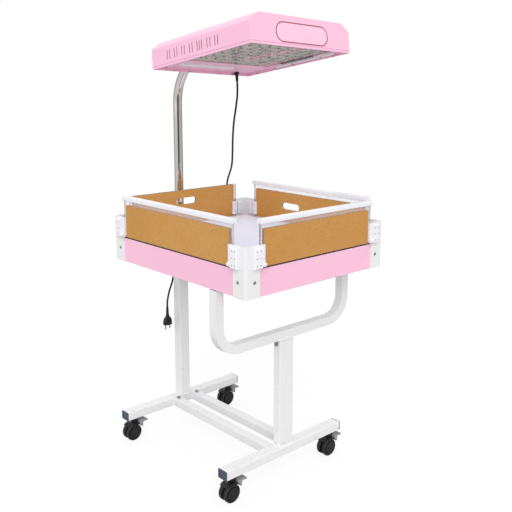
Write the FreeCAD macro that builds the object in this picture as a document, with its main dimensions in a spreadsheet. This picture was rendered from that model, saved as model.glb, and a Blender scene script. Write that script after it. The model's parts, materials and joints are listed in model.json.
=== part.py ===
import FreeCAD, Part
import math
import os
import re
import Sketcher

Vector = FreeCAD.Vector
Rotation = FreeCAD.Rotation
Placement = FreeCAD.Placement

# Phototherapy unit: a lamp on a mast above a cot tray, on a foot frame with four casters.
# X is the width, Y the depth with the mast at the rear (+Y), Z up from the floor.

# Driving dimensions in millimetres and degrees. They go into the sheet as plain numbers.
sizes = {
    # foot frame
    "caster_height": 82,
    "rail_length": 518,
    "rail_width": 40,
    "rail_height": 30,
    "tube_wall": 2,
    "tube_round": 3,
    "rail_spacing": 550,
    "end_cap_thick": 3,
    "end_cap_insert": 12,
    "end_cap_recess": 1,
    "crossbar_size": 30,
    "crossbar_spacing": 85.2,
    # columns and the bracket that holds the cot
    "column_width": 40,
    "column_top": 774,
    "bush_cap": 12,
    "bush_sleeve": 70,
    "front_column_width": 60,
    "front_column_depth": 30,
    "front_column_top": 477.5,
    "bracket_tube": 30,
    "bracket_inset": 4,
    "bracket_bend": 75,
    "bracket_plate_length": 80,
    "bracket_plate_width": 45,
    "bracket_plate": 4,
    "bracket_pad_gap": 3,
    "bolt_flats": 13,
    "bolt_head": 5.3,
    # cot tray
    "crib_width": 588,
    "crib_depth": 668,
    "crib_base": 691,
    "crib_gap": 13,
    "sheet_metal": 2,
    "apron_height": 80.4,
    "apron_flange": 18,
    "apron_lip": 8,
    "post_leg": 54,
    "post_wall": 4,
    "post_height": 150.5,
    "post_round": 8,
    "post_screw_height": 46,
    "post_screw_size": 11,
    "post_screw_head": 2,
    "post_screw_inset": 0.62,
    "deck_thick": 12,
    "mattress_clear": 2,
    "mattress_thick": 77,
    "mattress_round": 14,
    "mount_width": 140,
    "mount_height": 70,
    "mount_base": 694,
    "mount_plate": 4,
    # clear side panels with their paper masks
    "panel_thick": 8,
    "panel_inset": 2,
    "panel_drop": 8,
    "panel_height": 124,
    "panel_round": 5,
    "panel_end_gap": 5,
    "mask_thick": 0.6,
    "mask_margin": 1,
    "mask_low": 1,
    "mask_high": 16,
    "rail_cap_width": 20,
    "rail_cap_height": 15,
    "rail_cap_lap": 2,
    "rail_cap_over": 4,
    "rail_cap_round": 3,
    "slot_length": 90,
    "slot_height": 24,
    "rear_slot_height": 860,
    "right_slot_height": 836,
    "right_slot_shift": 78,
    # hinges
    "hinge_out": 6,
    "hinge_rise": 13.1,
    "block_length": 28,
    "block_height": 62,
    "block_thick": 12,
    "block_low": 9,
    "block_round": 5,
    "shoe_length": 14.5,
    "shoe_height": 57,
    "shoe_thick": 7,
    "hinge_pin": 7,
    "hinge_pin_length": 16,
    "running_fit": 0.1,
    "side_play": 0.5,
    # mast
    "mast_size": 32,
    "mast_wall": 2,
    "mast_base": 640,
    "mast_straight": 1209,
    "mast_bend": 155,
    "mast_tail": 8,
    "mast_entry": 54,
    "flange_width": 84,
    "flange_height": 60,
    "flange_thick": 5,
    "flange_round": 10,
    # lamp
    "lamp_pitch": 8.3,
    "lamp_roll": 2.8,
    "lamp_width": 407,
    "lamp_length": 478,
    "lamp_height": 88.2,
    "lamp_chamfer_in": 35,
    "lamp_chamfer_down": 24,
    "lamp_wall": 2.5,
    "lamp_round": 6,
    "vent_width": 3.2,
    "vent_height": 29,
    "vent_low": 19.5,
    "base_rim": 22,
    "base_sheet": 1.5,
    "base_lift": 1,
    "reflector_length": 300,
    "reflector_width": 334,
    "reflector_lift": 9,
    "lens_size": 13,
    "lens_drop": 4,
    "lens_across": 8,
    "lens_along": 6,
    "lens_pitch": 38,
    "lens_row_pitch": 42,
    "board_thick": 1.6,
    "board_margin": 10,
    "strip_width": 14,
    "strip_height": 6,
    "side_strip_length": 270,
    "rear_strip_length": 220,
    "driver_gap": 16,
    "driver_inset": 30,
    "driver_width": 230,
    "driver_height": 42,
    "switch_width": 15,
    "switch_height": 21,
    "switch_shift": 110,
    "switch_lift": 38,
    "gland_shift": 136,
    "gland_inset": 16,
    "gland_size": 12,
    "gland_length": 24,
    "gland_nut": 6,
    # clamp knob
    "knob_height": 744,
    "knob_size": 42,
    "knob_thick": 18,
    "knob_stand": 16.5,
    "knob_screw": 8,
    # cord
    "cord_size": 7,
    "plug_length": 42,
    "plug_relief": 26,
    "plug_width": 26,
    "plug_thick": 20,
    "clip_height": 592,
    "clip_shift": -10,
    "clip_stand": 9.5,
    "clip_width": 10,
    "clip_wall": 4,
    "clip_play": 1.2,
    # casters
    "caster_inset": 38,
    "caster_trail": 10,
    "wheel_size": 60,
    "wheel_wall": 14,
    "wheel_gap": 1,
    "web_thick": 8,
    "hub_size": 10,
    "hood_clear": 1.2,
    "hood_wall": 2.3,
    "hood_low": 54,
    "boss_size": 21,
    "stem_size": 11,
    "stem_flange": 26,
    "stem_flange_thick": 3.5,
    "stem_base": 64,
    "pedal_out": 17,
    "pedal_height": 61,
    "pedal_reach": 50,
    "pedal_width": 36,
    "pedal_pin": 5,
    "pedal_lug": 10,
}

# Places worked out from the driving dimensions.
places = {
    "knob_reach": "column_width / 2 + knob_stand + knob_thick",
    "depth": "knob_reach + column_width / 2 + crib_gap + crib_depth + block_thick",
    "column_y": "depth / 2 - knob_reach",
    "front_rail_y": "column_y - rail_spacing",
    "rail_top": "caster_height + rail_height",
    "crib_back": "column_y - column_width / 2 - crib_gap",
    "crib_front": "crib_back - crib_depth",
    "crib_middle": "(crib_back + crib_front) / 2",
    "bracket_centre": "front_column_top + bracket_tube / 2",
    "bracket_width": "crib_width - 2 * bracket_inset",
    "bracket_arm": "bracket_width / 2 - bracket_tube / 2",
    "deck_base": "crib_base + sheet_metal",
    "deck_top": "deck_base + deck_thick",
    "mattress_top": "deck_top + mattress_thick",
    "bracket_top": "deck_base - bracket_plate",
    "bracket_pad_edge": "crib_width / 2 - post_wall - apron_flange - bracket_pad_gap",
    "hinge_height": "crib_base + apron_height + hinge_rise",
    "panel_base": "hinge_height - panel_drop",
    "panel_top": "panel_base + panel_height",
    "turn_angle": "90 - lamp_pitch",
    "mast_end_y": "column_y - mast_bend * (1 - cos(turn_angle * 1 deg)) - mast_tail * sin(turn_angle * 1 deg)",
    "mast_end_z": "mast_straight + mast_bend * sin(turn_angle * 1 deg) + mast_tail * cos(turn_angle * 1 deg)",
    "lamp_x": "-mast_entry * sin(lamp_roll * 1 deg)",
    "lamp_y": "mast_end_y - flange_thick * cos(lamp_pitch * 1 deg)"
              " - mast_entry * cos(lamp_roll * 1 deg) * sin(lamp_pitch * 1 deg)",
    "lamp_z": "mast_end_z + flange_thick * sin(lamp_pitch * 1 deg)"
              " - mast_entry * cos(lamp_roll * 1 deg) * cos(lamp_pitch * 1 deg)",
    "lamp_inside": "lamp_width / 2 - lamp_wall",
    "reflector_front": "-lamp_length + lamp_wall + base_rim + 12",
    "reflector_end": "reflector_front + reflector_length",
    "caster_x": "rail_length / 2 - caster_inset",
    "axle_height": "wheel_size / 2",
    "hood_inside": "wheel_size / 2 + hood_clear",
    "knuckle": "block_thick - hinge_out",
    "wheel_outside": "web_thick / 2 + wheel_gap + wheel_wall",
}

doc = FreeCAD.newDocument("PhototherapyUnit")
sheet = doc.addObject("Spreadsheet::Sheet", "Sizes")
for row, (name, value) in enumerate(sizes.items(), start=1):
    sheet.set("A%d" % row, name)
    sheet.set("B%d" % row, str(value))
    sheet.setAlias("B%d" % row, name)
doc.recompute()

parts = []


def bind(text):
    """Write a formula of named sizes and places as an expression on the sheet."""
    def word(match):
        name = match.group(0)
        if name in places:
            return "(" + bind(places[name]) + ")"
        if name in sizes:
            return "Sizes." + name
        return name
    return re.sub(r"[a-z][a-z_]*", word, str(text))


def number(text):
    return float(sheet.evalExpression(bind(text)))


def place(piece, x="0", y="0", z="0", turn=None):
    if turn is not None:
        piece.Placement = Placement(Vector(0, 0, 0), turn)
    piece.setExpression("Placement.Base.x", bind(x))
    piece.setExpression("Placement.Base.y", bind(y))
    piece.setExpression("Placement.Base.z", bind(z))
    return piece


def finish(label, piece):
    piece.Label = label
    parts.append(piece)
    return piece


# Ways to make a piece


def box(name, size, corner):
    piece = doc.addObject("Part::Box", name)
    for key, text in zip(("Length", "Width", "Height"), size):
        piece.setExpression(key, bind(text))
    return place(piece, *corner)


turns = {
    "x": Rotation(Vector(0, 1, 0), 90),
    "y": Rotation(Vector(1, 0, 0), -90),
    "z": Rotation(),
}


def rod(name, radius, length, start, axis="z"):
    piece = doc.addObject("Part::Cylinder", name)
    piece.setExpression("Radius", bind(radius))
    piece.setExpression("Height", bind(length))
    return place(piece, *start, turn=turns[axis])


def cut(name, base, tool):
    piece = doc.addObject("Part::Cut", name)
    piece.Base = base
    piece.Tool = tool
    return piece


def fuse(name, pieces):
    piece = doc.addObject("Part::MultiFuse", name)
    piece.Shapes = pieces
    return piece


def group(name, pieces):
    piece = doc.addObject("Part::Compound", name)
    piece.Links = pieces
    return piece


def origin_plane(body, role):
    return [item for item in body.Origin.OriginFeatures if item.Role == role][0]


def polygon(sketch, corners):
    first = sketch.GeometryCount
    spots = [Vector(number(x), number(y), 0) for x, y in corners]
    for start, end in zip(spots, spots[1:] + spots[:1]):
        sketch.addGeometry(Part.LineSegment(start, end), False)
    for step, (x, y) in enumerate(corners):
        following = first + (step + 1) % len(corners)
        sketch.addConstraint(Sketcher.Constraint("Coincident", first + step, 2, following, 1))
        for kind, text in (("DistanceX", x), ("DistanceY", y)):
            limit = Sketcher.Constraint(kind, -1, 1, first + step, 1, number(text))
            index = sketch.addConstraint(limit)
            sketch.setExpression("Constraints[%d]" % index, bind(text))


def circle(sketch, x, y, radius):
    first = sketch.GeometryCount
    centre = Vector(number(x), number(y), 0)
    sketch.addGeometry(Part.Circle(centre, Vector(0, 0, 1), number(radius)), False)
    for kind, text in (("DistanceX", x), ("DistanceY", y)):
        limit = Sketcher.Constraint(kind, -1, 1, first, 3, number(text))
        index = sketch.addConstraint(limit)
        sketch.setExpression("Constraints[%d]" % index, bind(text))
    index = sketch.addConstraint(Sketcher.Constraint("Radius", first, number(radius)))
    sketch.setExpression("Constraints[%d]" % index, bind(radius))


def rectangle(x_low, x_high, y_low, y_high):
    return [(x_low, y_low), (x_high, y_low), (x_high, y_high), (x_low, y_high)]


def centred(width, height, middle="0"):
    half = "(%s) / 2" % width
    low = "(%s) - (%s) / 2" % (middle, height)
    high = "(%s) + (%s) / 2" % (middle, height)
    return rectangle("-" + half, half, low, high)


def new_body(name):
    return doc.addObject("PartDesign::Body", name)


def draw(body, role, loops, offset="0"):
    sketch = body.newObject("Sketcher::SketchObject", body.Name + "_sketch")
    sketch.AttachmentSupport = [(origin_plane(body, role), "")]
    sketch.MapMode = "FlatFace"
    sketch.setExpression("AttachmentOffset.Base.z", bind(offset))
    for loop in loops:
        if len(loop) == 3:
            circle(sketch, *loop)
        else:
            polygon(sketch, loop)
    return sketch


def pad(body, role, loops, length, offset="0", middle=False, back=False):
    sketch = draw(body, role, loops, offset)
    feature = body.newObject("PartDesign::Pad", body.Name + "_pad")
    feature.Profile = sketch
    feature.setExpression("Length", bind(length))
    feature.Midplane = middle
    feature.Reversed = back
    return feature


def pocket(body, role, loops, length, offset="0", middle=False, back=False):
    doc.recompute()
    before = body.Shape.Volume
    sketch = draw(body, role, loops, offset)
    feature = body.newObject("PartDesign::Pocket", body.Name + "_pocket")
    feature.Profile = sketch
    feature.setExpression("Length", bind(length))
    feature.Midplane = middle
    feature.Reversed = back
    doc.recompute()
    if body.Shape.Volume > before - 0.01:
        raise RuntimeError("the pocket in %s cuts nothing" % body.Name)
    return feature


def prism(name, role, loops, length, **choices):
    body = new_body(name)
    pad(body, role, loops, length, **choices)
    return body


def is_along(axis):
    """Pick the straight edges that run along an axis."""
    def wanted(edge):
        if not isinstance(edge.Curve, Part.Line):
            return False
        return abs(abs(edge.Curve.Direction.dot(axis)) - 1) < 1e-6
    return wanted


along_x = is_along(Vector(1, 0, 0))
along_y = is_along(Vector(0, 1, 0))
along_z = is_along(Vector(0, 0, 1))


def soften(body, radius, wanted):
    doc.recompute()
    base = body.Tip
    names = ["Edge%d" % count for count, edge in enumerate(base.Shape.Edges, start=1) if wanted(edge)]
    feature = body.newObject("PartDesign::Fillet", body.Name + "_round")
    feature.Base = (base, names)
    feature.setExpression("Radius", bind(radius))
    return body


def box_tube(name, role, width, height, length, middle_height="0", **choices):
    """Square tube with rounded outer corners and an open bore."""
    outer = centred(width, height, middle_height)
    inner = centred(width + " - 2 * tube_wall", height + " - 2 * tube_wall", middle_height)
    body = prism(name, role, [outer, inner], length, **choices)
    half_width = number(width) / 2
    lengthwise = {"XY_Plane": along_z, "XZ_Plane": along_y, "YZ_Plane": along_x}[role]
    across = {"XY_Plane": "x", "XZ_Plane": "x", "YZ_Plane": "y"}[role]

    def outside(edge):
        spot = getattr(edge.CenterOfMass, across)
        return lengthwise(edge) and abs(abs(spot) - half_width) < 0.01
    return soften(body, "tube_round", outside)


def bolt(name, head, x, y, z, turn=None):
    """Hexagonal head standing on a face."""
    flats = "bolt_flats / 2"
    corner = "bolt_flats / 2 / cos(30 * 1 deg)"
    half = "bolt_flats / 4 / cos(30 * 1 deg)"
    hexagon = [(corner, "0"), (half, flats), ("-" + half, flats),
               ("-" + corner, "0"), ("-" + half, "-" + flats), (half, "-" + flats)]
    body = prism(name, "XY_Plane", [hexagon], head)
    return place(body, x, y, z, turn=turn)


# Foot frame


def foot_rails():
    rails = []
    for end, y in (("front", "front_rail_y"), ("rear", "column_y")):
        rail = box_tube("rail_" + end, "YZ_Plane", "rail_width", "rail_height",
                        "rail_length - 2 * end_cap_thick", middle=True)
        rails.append(place(rail, "0", y, "caster_height + rail_height / 2"))
    finish("foot_rails", group("foot_rails", rails))


def rail_end_caps():
    caps = []
    for y in ("front_rail_y", "column_y"):
        for side in (-1, 1):
            body = new_body("end_cap")
            pad(body, "YZ_Plane", [centred("rail_width", "rail_height")], "end_cap_thick")
            insert = centred("rail_width - 2 * tube_wall", "rail_height - 2 * tube_wall")
            pad(body, "YZ_Plane", [insert], "end_cap_insert", back=True)
            recess = centred("rail_width - 14", "rail_height - 12")
            pocket(body, "YZ_Plane", [recess], "end_cap_recess", offset="end_cap_thick")
            soften(body, "tube_round - 0.5", outer_corner(number("rail_width") / 2))
            turn = Rotation(Vector(0, 0, 1), 0 if side > 0 else 180)
            x = "%d * (rail_length / 2 - end_cap_thick)" % side
            caps.append(place(body, x, y, "caster_height + rail_height / 2", turn=turn))
    finish("rail_end_caps", group("rail_end_caps", caps))


def outer_corner(reach):
    def wanted(edge):
        return along_x(edge) and abs(abs(edge.CenterOfMass.y) - reach) < 0.01
    return wanted


def crossbars():
    bars = []
    for side in (-1, 1):
        bar = box_tube("crossbar", "XZ_Plane", "crossbar_size", "crossbar_size",
                       "rail_spacing - rail_width", middle=True)
        bars.append(place(bar, "%d * crossbar_spacing / 2" % side,
                          "(front_rail_y + column_y) / 2", "rail_top - crossbar_size / 2"))
    finish("crossbars", group("crossbars", bars))


def columns():
    rear = box_tube("rear_tube", "XY_Plane", "column_width", "column_width", "column_top - rail_top")
    hole = rod("knob_hole", "knob_screw / 2 + running_fit", "column_width",
               ("0", "0", "knob_height - rail_top"), axis="y")
    piece = cut("rear_column", rear, hole)
    finish("rear_column", place(piece, "0", "column_y", "rail_top"))
    front = box_tube("front_column", "XY_Plane", "front_column_width", "front_column_depth",
                     "front_column_top - rail_top")
    finish("front_column", place(front, "0", "front_rail_y", "rail_top"))


def u_bracket():
    """Square tube bent into a U, with a welded pad on each arm."""
    body = new_body("bracket_tube_body")
    path = body.newObject("Sketcher::SketchObject", "bracket_path")
    path.AttachmentSupport = [(origin_plane(body, "XZ_Plane"), "")]
    path.MapMode = "FlatFace"
    arm = number("bracket_arm")
    bend = number("bracket_bend")
    low = number("bracket_centre")
    top = number("bracket_top")
    path.addGeometry(Part.LineSegment(Vector(-arm, top, 0), Vector(-arm, low + bend, 0)), False)
    left = Part.Circle(Vector(bend - arm, low + bend, 0), Vector(0, 0, 1), bend)
    path.addGeometry(Part.ArcOfCircle(left, math.pi, 1.5 * math.pi), False)
    path.addGeometry(Part.LineSegment(Vector(bend - arm, low, 0), Vector(arm - bend, low, 0)), False)
    right = Part.Circle(Vector(arm - bend, low + bend, 0), Vector(0, 0, 1), bend)
    path.addGeometry(Part.ArcOfCircle(right, 1.5 * math.pi, 2 * math.pi), False)
    path.addGeometry(Part.LineSegment(Vector(arm, low + bend, 0), Vector(arm, top, 0)), False)
    section = body.newObject("Sketcher::SketchObject", "bracket_section")
    section.AttachmentSupport = [(origin_plane(body, "XY_Plane"), "")]
    section.MapMode = "FlatFace"
    section.setExpression("AttachmentOffset.Base.z", bind("bracket_top"))
    for width in ("bracket_tube", "bracket_tube - 2 * tube_wall"):
        half = "(%s) / 2" % width
        polygon(section, rectangle("-bracket_arm - " + half, "-bracket_arm + " + half, "-" + half, half))
    pipe = body.newObject("PartDesign::AdditivePipe", "bracket_pipe")
    pipe.Profile = section
    pipe.Spine = path
    pads = []
    for side in (-1, 1):
        low_x = "bracket_pad_edge - bracket_plate_width" if side > 0 else "-bracket_pad_edge"
        pads.append(box("bracket_pad", ("bracket_plate_width", "bracket_plate_length", "bracket_plate"),
                        (low_x, "-bracket_plate_length / 2", "bracket_top")))
    piece = fuse("u_bracket", [body] + pads)
    finish("u_bracket", place(piece, "0", "front_rail_y", "0"))


def frame_bolts():
    bolts = []
    for side in (-1, 1):
        x = "%d * crossbar_spacing / 2" % side
        bolts.append(bolt("rail_bolt", "bolt_head", x, "column_y - rail_width / 2 - 12", "rail_top"))
        turn = Rotation(Vector(0, 1, 0), 90 * side)
        x = "%d * front_column_width / 2" % side
        bolts.append(bolt("bracket_bolt", "bolt_head", x, "front_rail_y",
                          "front_column_top - 15", turn=turn))
    finish("frame_bolts", group("frame_bolts", bolts))


def column_bush():
    """Black bush that closes the rear column and guides the mast."""
    cap = prism("bush_cap_body", "XY_Plane",
                [centred("column_width", "column_width"), ("0", "0", "mast_size / 2 + running_fit / 2")],
                "bush_cap", offset="column_top")
    soften(cap, "tube_round", lambda edge: along_z(edge))
    sleeve = prism("bush_sleeve_body", "XY_Plane",
                   [centred("column_width - 2 * tube_wall", "column_width - 2 * tube_wall"),
                    ("0", "0", "mast_size / 2 + running_fit / 2")],
                   "bush_sleeve", offset="column_top - bush_sleeve")
    screw_hole = rod("bush_hole", "knob_screw / 2 + running_fit", "column_width",
                     ("0", "0", "knob_height"), axis="y")
    piece = cut("column_bush", fuse("bush_blank", [cap, sleeve]), screw_hole)
    finish("column_bush", place(piece, "0", "column_y", "0"))


def clamp_knob():
    """Star knob with a screw that reaches the mast."""
    grip = rod("knob_grip", "knob_size / 2", "knob_thick",
               ("0", "column_width / 2 + knob_stand", "0"), axis="y")
    neck = rod("knob_neck", "knob_screw", "knob_stand - 2",
               ("0", "column_width / 2 + 2", "0"), axis="y")
    screw = rod("knob_shank", "knob_screw / 2", "column_width / 2 - mast_size / 2 + 1.7",
                ("0", "mast_size / 2 + 0.3", "0"), axis="y")
    blank = fuse("knob_blank", [grip, neck, screw])
    notches = []
    for step in range(6):
        angle = math.radians(60 * step)
        x = "(knob_size / 2 + 5) * %.6f" % math.cos(angle)
        z = "(knob_size / 2 + 5) * %.6f" % math.sin(angle)
        notches.append(rod("knob_notch", "9", "knob_thick + 2",
                           (x, "column_width / 2 + knob_stand - 1", z), axis="y"))
    piece = cut("clamp_knob", blank, fuse("knob_notches", notches))
    finish("clamp_knob", place(piece, "0", "column_y", "knob_height"))


def cord_clip():
    """Small block on the back of the rear column with an upright hole for the cord."""
    body = prism("clip_block", "XZ_Plane", [centred("cord_size + 2 * clip_wall", "clip_width")],
                 "clip_stand + cord_size / 2 + clip_wall", back=True)
    soften(body, "2", along_y)
    hole = rod("clip_hole", "cord_size / 2 + clip_play", "clip_width + 2",
               ("0", "clip_stand", "-clip_width / 2 - 1"))
    piece = cut("cord_clip", body, hole)
    finish("cord_clip", place(piece, "clip_shift", "column_y + column_width / 2", "clip_height"))


# Cot tray


def side_frame(piece, side, z="0"):
    """Put a piece drawn on the front side onto one side of the tray."""
    spots = {
        "front": ("0", "crib_front", 0),
        "rear": ("0", "crib_back", 180),
        "left": ("-crib_width / 2", "crib_middle", -90),
        "right": ("crib_width / 2", "crib_middle", 90),
    }
    x, y, angle = spots[side]
    return place(piece, x, y, z, turn=Rotation(Vector(0, 0, 1), angle))


spans = {"front": "crib_width", "rear": "crib_width", "left": "crib_depth", "right": "crib_depth"}


def apron(side, length):
    """Folded sheet channel, with a wide flange under the deck and a narrow lip on top."""
    face = "post_wall"
    back = "post_wall + sheet_metal"
    top = "crib_base + apron_height"
    corners = [
        (face, "crib_base"),
        ("post_wall + apron_flange", "crib_base"),
        ("post_wall + apron_flange", "crib_base + sheet_metal"),
        (back, "crib_base + sheet_metal"),
        (back, top + " - sheet_metal"),
        ("post_wall + apron_lip", top + " - sheet_metal"),
        ("post_wall + apron_lip", top),
        (face, top),
    ]
    body = prism("apron_" + side, "YZ_Plane", [corners], length, middle=True)

    def folded(edge):
        spot = edge.CenterOfMass
        return along_x(edge) and abs(spot.y - number(face)) < 0.01
    soften(body, "sheet_metal", folded)
    return side_frame(body, side)


def aprons():
    long_side = "crib_depth - 2 * post_wall"
    short_side = "crib_width - 2 * post_wall - 2 * apron_flange - 1"
    finish("aprons_side", group("aprons_side", [apron(side, long_side) for side in ("left", "right")]))
    finish("aprons_end", group("aprons_end", [apron(side, short_side) for side in ("front", "rear")]))


def corner_posts():
    posts = []
    leg = "post_leg"
    corners = [("0", "0"), (leg, "0"), (leg, "post_wall"), ("post_wall", "post_wall"),
               ("post_wall", leg), ("0", leg)]
    for side_x, side_y, angle in ((-1, -1, 0), (1, -1, 90), (1, 1, 180), (-1, 1, 270)):
        body = prism("post", "XY_Plane", [corners], "post_height")
        soften(body, "post_round",
               lambda edge: along_z(edge) and edge.CenterOfMass.Length < number("post_height") / 2 + 0.1
               and math.hypot(edge.CenterOfMass.x, edge.CenterOfMass.y) < 0.1)
        y = "crib_front" if side_y < 0 else "crib_back"
        posts.append(place(body, "%d * crib_width / 2" % side_x, y, "crib_base",
                           turn=Rotation(Vector(0, 0, 1), angle)))
    finish("corner_posts", group("corner_posts", posts))


def crib_screws():
    """Domed screws, one in each face of each post."""
    screws = []
    for side in ("front", "rear", "left", "right"):
        for end in (-1, 1):
            head = doc.addObject("Part::Cone", "crib_screw")
            head.setExpression("Radius1", bind("post_screw_size / 2"))
            head.setExpression("Radius2", bind("post_screw_size / 3"))
            head.setExpression("Height", bind("post_screw_head"))
            place(head, "%d * (%s / 2 - post_leg * post_screw_inset)" % (end, spans[side]), "0",
                  "crib_base + post_screw_height", turn=Rotation(Vector(1, 0, 0), 90))
            screws.append(side_frame(group("crib_screw_place", [head]), side))
    finish("crib_screws", group("crib_screws", screws))


def deck():
    inside = " - 2 * post_wall - 2 * sheet_metal - 1"
    body = prism("deck", "XY_Plane", [centred("crib_width" + inside, "crib_depth" + inside)], "deck_thick")
    finish("deck", place(body, "0", "crib_middle", "deck_base"))


def mattress():
    edge = " - 2 * (post_wall + apron_lip + mattress_clear)"
    loop = centred("crib_width" + edge, "crib_depth" + edge)
    body = prism("mattress", "XY_Plane", [loop], "mattress_thick")
    soften(body, "mattress_round", along_z)
    soften(body, "mattress_round / 2", lambda edge: edge.BoundBox.ZLength < 0.01)
    finish("mattress", place(body, "0", "crib_middle", "deck_top"))


def crib_rear_mount():
    """Plate on the rear apron and the block that ties it to the rear column."""
    plate = box("mount_plate_body", ("mount_width", "mount_plate", "mount_height"),
                ("-mount_width / 2", "crib_back - mount_plate", "mount_base"))
    block = box("mount_block", ("column_width", "crib_gap", "mount_height"),
                ("-column_width / 2", "crib_back", "mount_base"))
    piece = fuse("crib_rear_mount", [plate, block])
    finish("crib_rear_mount", piece)


# Side panels


def panel_length(side):
    return "%s - 2 * post_leg - 2 * panel_end_gap" % spans[side]


def slot_tool(side):
    """Stadium hand hole through a panel and its masks."""
    centre = {"rear": ("0", "rear_slot_height"), "right": ("right_slot_shift", "right_slot_height")}
    x, z = centre[side]
    straight = "slot_length - slot_height"
    bar = box("slot_bar", (straight, "30", "slot_height"),
              ("%s - (%s) / 2" % (x, straight), "-10", "%s - slot_height / 2" % z))
    ends = [rod("slot_end", "slot_height / 2", "30", ("%s %s (%s) / 2" % (x, sign, straight), "-10", z),
                axis="y") for sign in "+-"]
    return fuse("slot_tool", [bar] + ends)


def panel(side):
    name = "panel_" + side
    low = "panel_base"
    high = "panel_top"
    half = "(%s) / 2" % panel_length(side)
    body = prism(name + "_sheet", "XZ_Plane", [rectangle("-" + half, half, low, high)],
                 "panel_thick", offset="-panel_inset", back=True)
    soften(body, "panel_round", along_y)
    piece = body
    if side in ("rear", "right"):
        piece = cut(name, body, slot_tool(side))
    finish(name, side_frame(piece, side))


def mask(side):
    """Paper protection on both faces of a panel."""
    shoe_end = "shoe_length + side_play - panel_end_gap"
    half = "(%s) / 2 - (%s) - mask_margin" % (panel_length(side), shoe_end)
    upper = "panel_top - mask_margin" if side == "rear" else "panel_top - mask_high"
    loop = rectangle("-(%s)" % half, half, "panel_base + mask_low", upper)
    sheets = []
    for face, offset in (("out", "-(panel_inset - mask_thick)"), ("in", "-(panel_inset + panel_thick)")):
        body = prism("mask_%s_%s" % (side, face), "XZ_Plane", [loop], "mask_thick",
                     offset=offset, back=True)
        if side in ("rear", "right"):
            body = cut("mask_cut_%s_%s" % (side, face), body, slot_tool(side))
        sheets.append(body)
    finish("mask_" + side, side_frame(group("mask_" + side, sheets), side))


def cap_rail(side):
    """Rounded rail that is pressed over the top edge of a folding panel."""
    middle = "panel_inset + panel_thick / 2"
    low = "panel_top - rail_cap_lap"
    corners = [
        (middle + " - rail_cap_width / 2", low),
        ("panel_inset", low),
        ("panel_inset", "panel_top"),
        ("panel_inset + panel_thick", "panel_top"),
        ("panel_inset + panel_thick", low),
        (middle + " + rail_cap_width / 2", low),
        (middle + " + rail_cap_width / 2", low + " + rail_cap_height"),
        (middle + " - rail_cap_width / 2", low + " + rail_cap_height"),
    ]
    body = prism("cap_rail_" + side, "YZ_Plane", [corners],
                 panel_length(side) + " + 2 * rail_cap_over", middle=True)
    outermost = number("rail_cap_width") / 2
    centre = number(middle)

    def outer(edge):
        return along_x(edge) and abs(abs(edge.CenterOfMass.y - centre) - outermost) < 0.01
    soften(body, "rail_cap_round", outer)
    finish("cap_rail_" + side, side_frame(body, side))


def hinge_blocks():
    """White blocks on the outer faces of the posts, bored for the panels' pins."""
    blocks = []
    for side in ("front", "rear", "left", "right"):
        for end in (-1, 1):
            corner = "%s / 2 - post_leg" % spans[side]
            body = prism("hinge_block", "XZ_Plane",
                         [rectangle("0", "block_length", "hinge_height - block_low",
                                    "hinge_height - block_low + block_height")], "block_thick")
            soften(body, "block_round",
                   lambda edge: edge.CenterOfMass.y < -number("block_thick") + 0.01
                   and edge.BoundBox.YLength < 0.01 and edge.CenterOfMass.x > 0.01)
            bore = rod("hinge_bore", "hinge_pin / 2 + running_fit / 2", "hinge_pin_length + 1",
                       ("-0.5", "-hinge_out", "hinge_height"), axis="x")
            block = cut("bored_block", body, bore)
            if end < 0:
                mirror = doc.addObject("Part::Mirroring", "block_mirror")
                mirror.Source = block
                mirror.Normal = Vector(1, 0, 0)
                block = mirror
            placed = group("hinge_block_place", [block])
            place(block, "%d * (%s)" % (end, corner))
            blocks.append(side_frame(placed, side))
    finish("hinge_blocks", group("hinge_blocks", blocks))


def shoe(side, end):
    """Leaf on the panel's end with a rounded foot and a pin along the hinge line."""
    low = "hinge_height"
    foot = rod("shoe_foot", "knuckle", "shoe_length", ("side_play", "-hinge_out", "hinge_height"), axis="x")
    leaf = box("shoe_leaf", ("shoe_length", "shoe_thick", "shoe_height"),
               ("side_play", "panel_inset - shoe_thick", low))
    neck = box("shoe_neck", ("shoe_length", "hinge_out + panel_inset", "knuckle + 4"),
               ("side_play", "-hinge_out", low))
    pin = rod("shoe_pin", "hinge_pin / 2", "hinge_pin_length",
              ("side_play - hinge_pin_length", "-hinge_out", "hinge_height"), axis="x")
    piece = fuse("shoe_blank", [foot, leaf, neck, pin])
    clear = box("shoe_trim", ("shoe_length + 2", "panel_thick", "shoe_height * 3"),
                ("side_play - 0.5", "panel_inset", "hinge_height - shoe_height"))
    piece = cut("shoe", piece, clear)
    corner = "%s / 2 - post_leg" % spans[side]
    if end > 0:
        mirror = doc.addObject("Part::Mirroring", "shoe_mirror")
        mirror.Source = piece
        mirror.Normal = Vector(1, 0, 0)
        piece = mirror
    return place(piece, "%d * (%s)" % (end, corner))


def hinge_shoes(side):
    shoes = group("hinge_shoes_" + side, [shoe(side, -1), shoe(side, 1)])
    finish("hinge_shoes_" + side, side_frame(shoes, side))


# Mast


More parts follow.
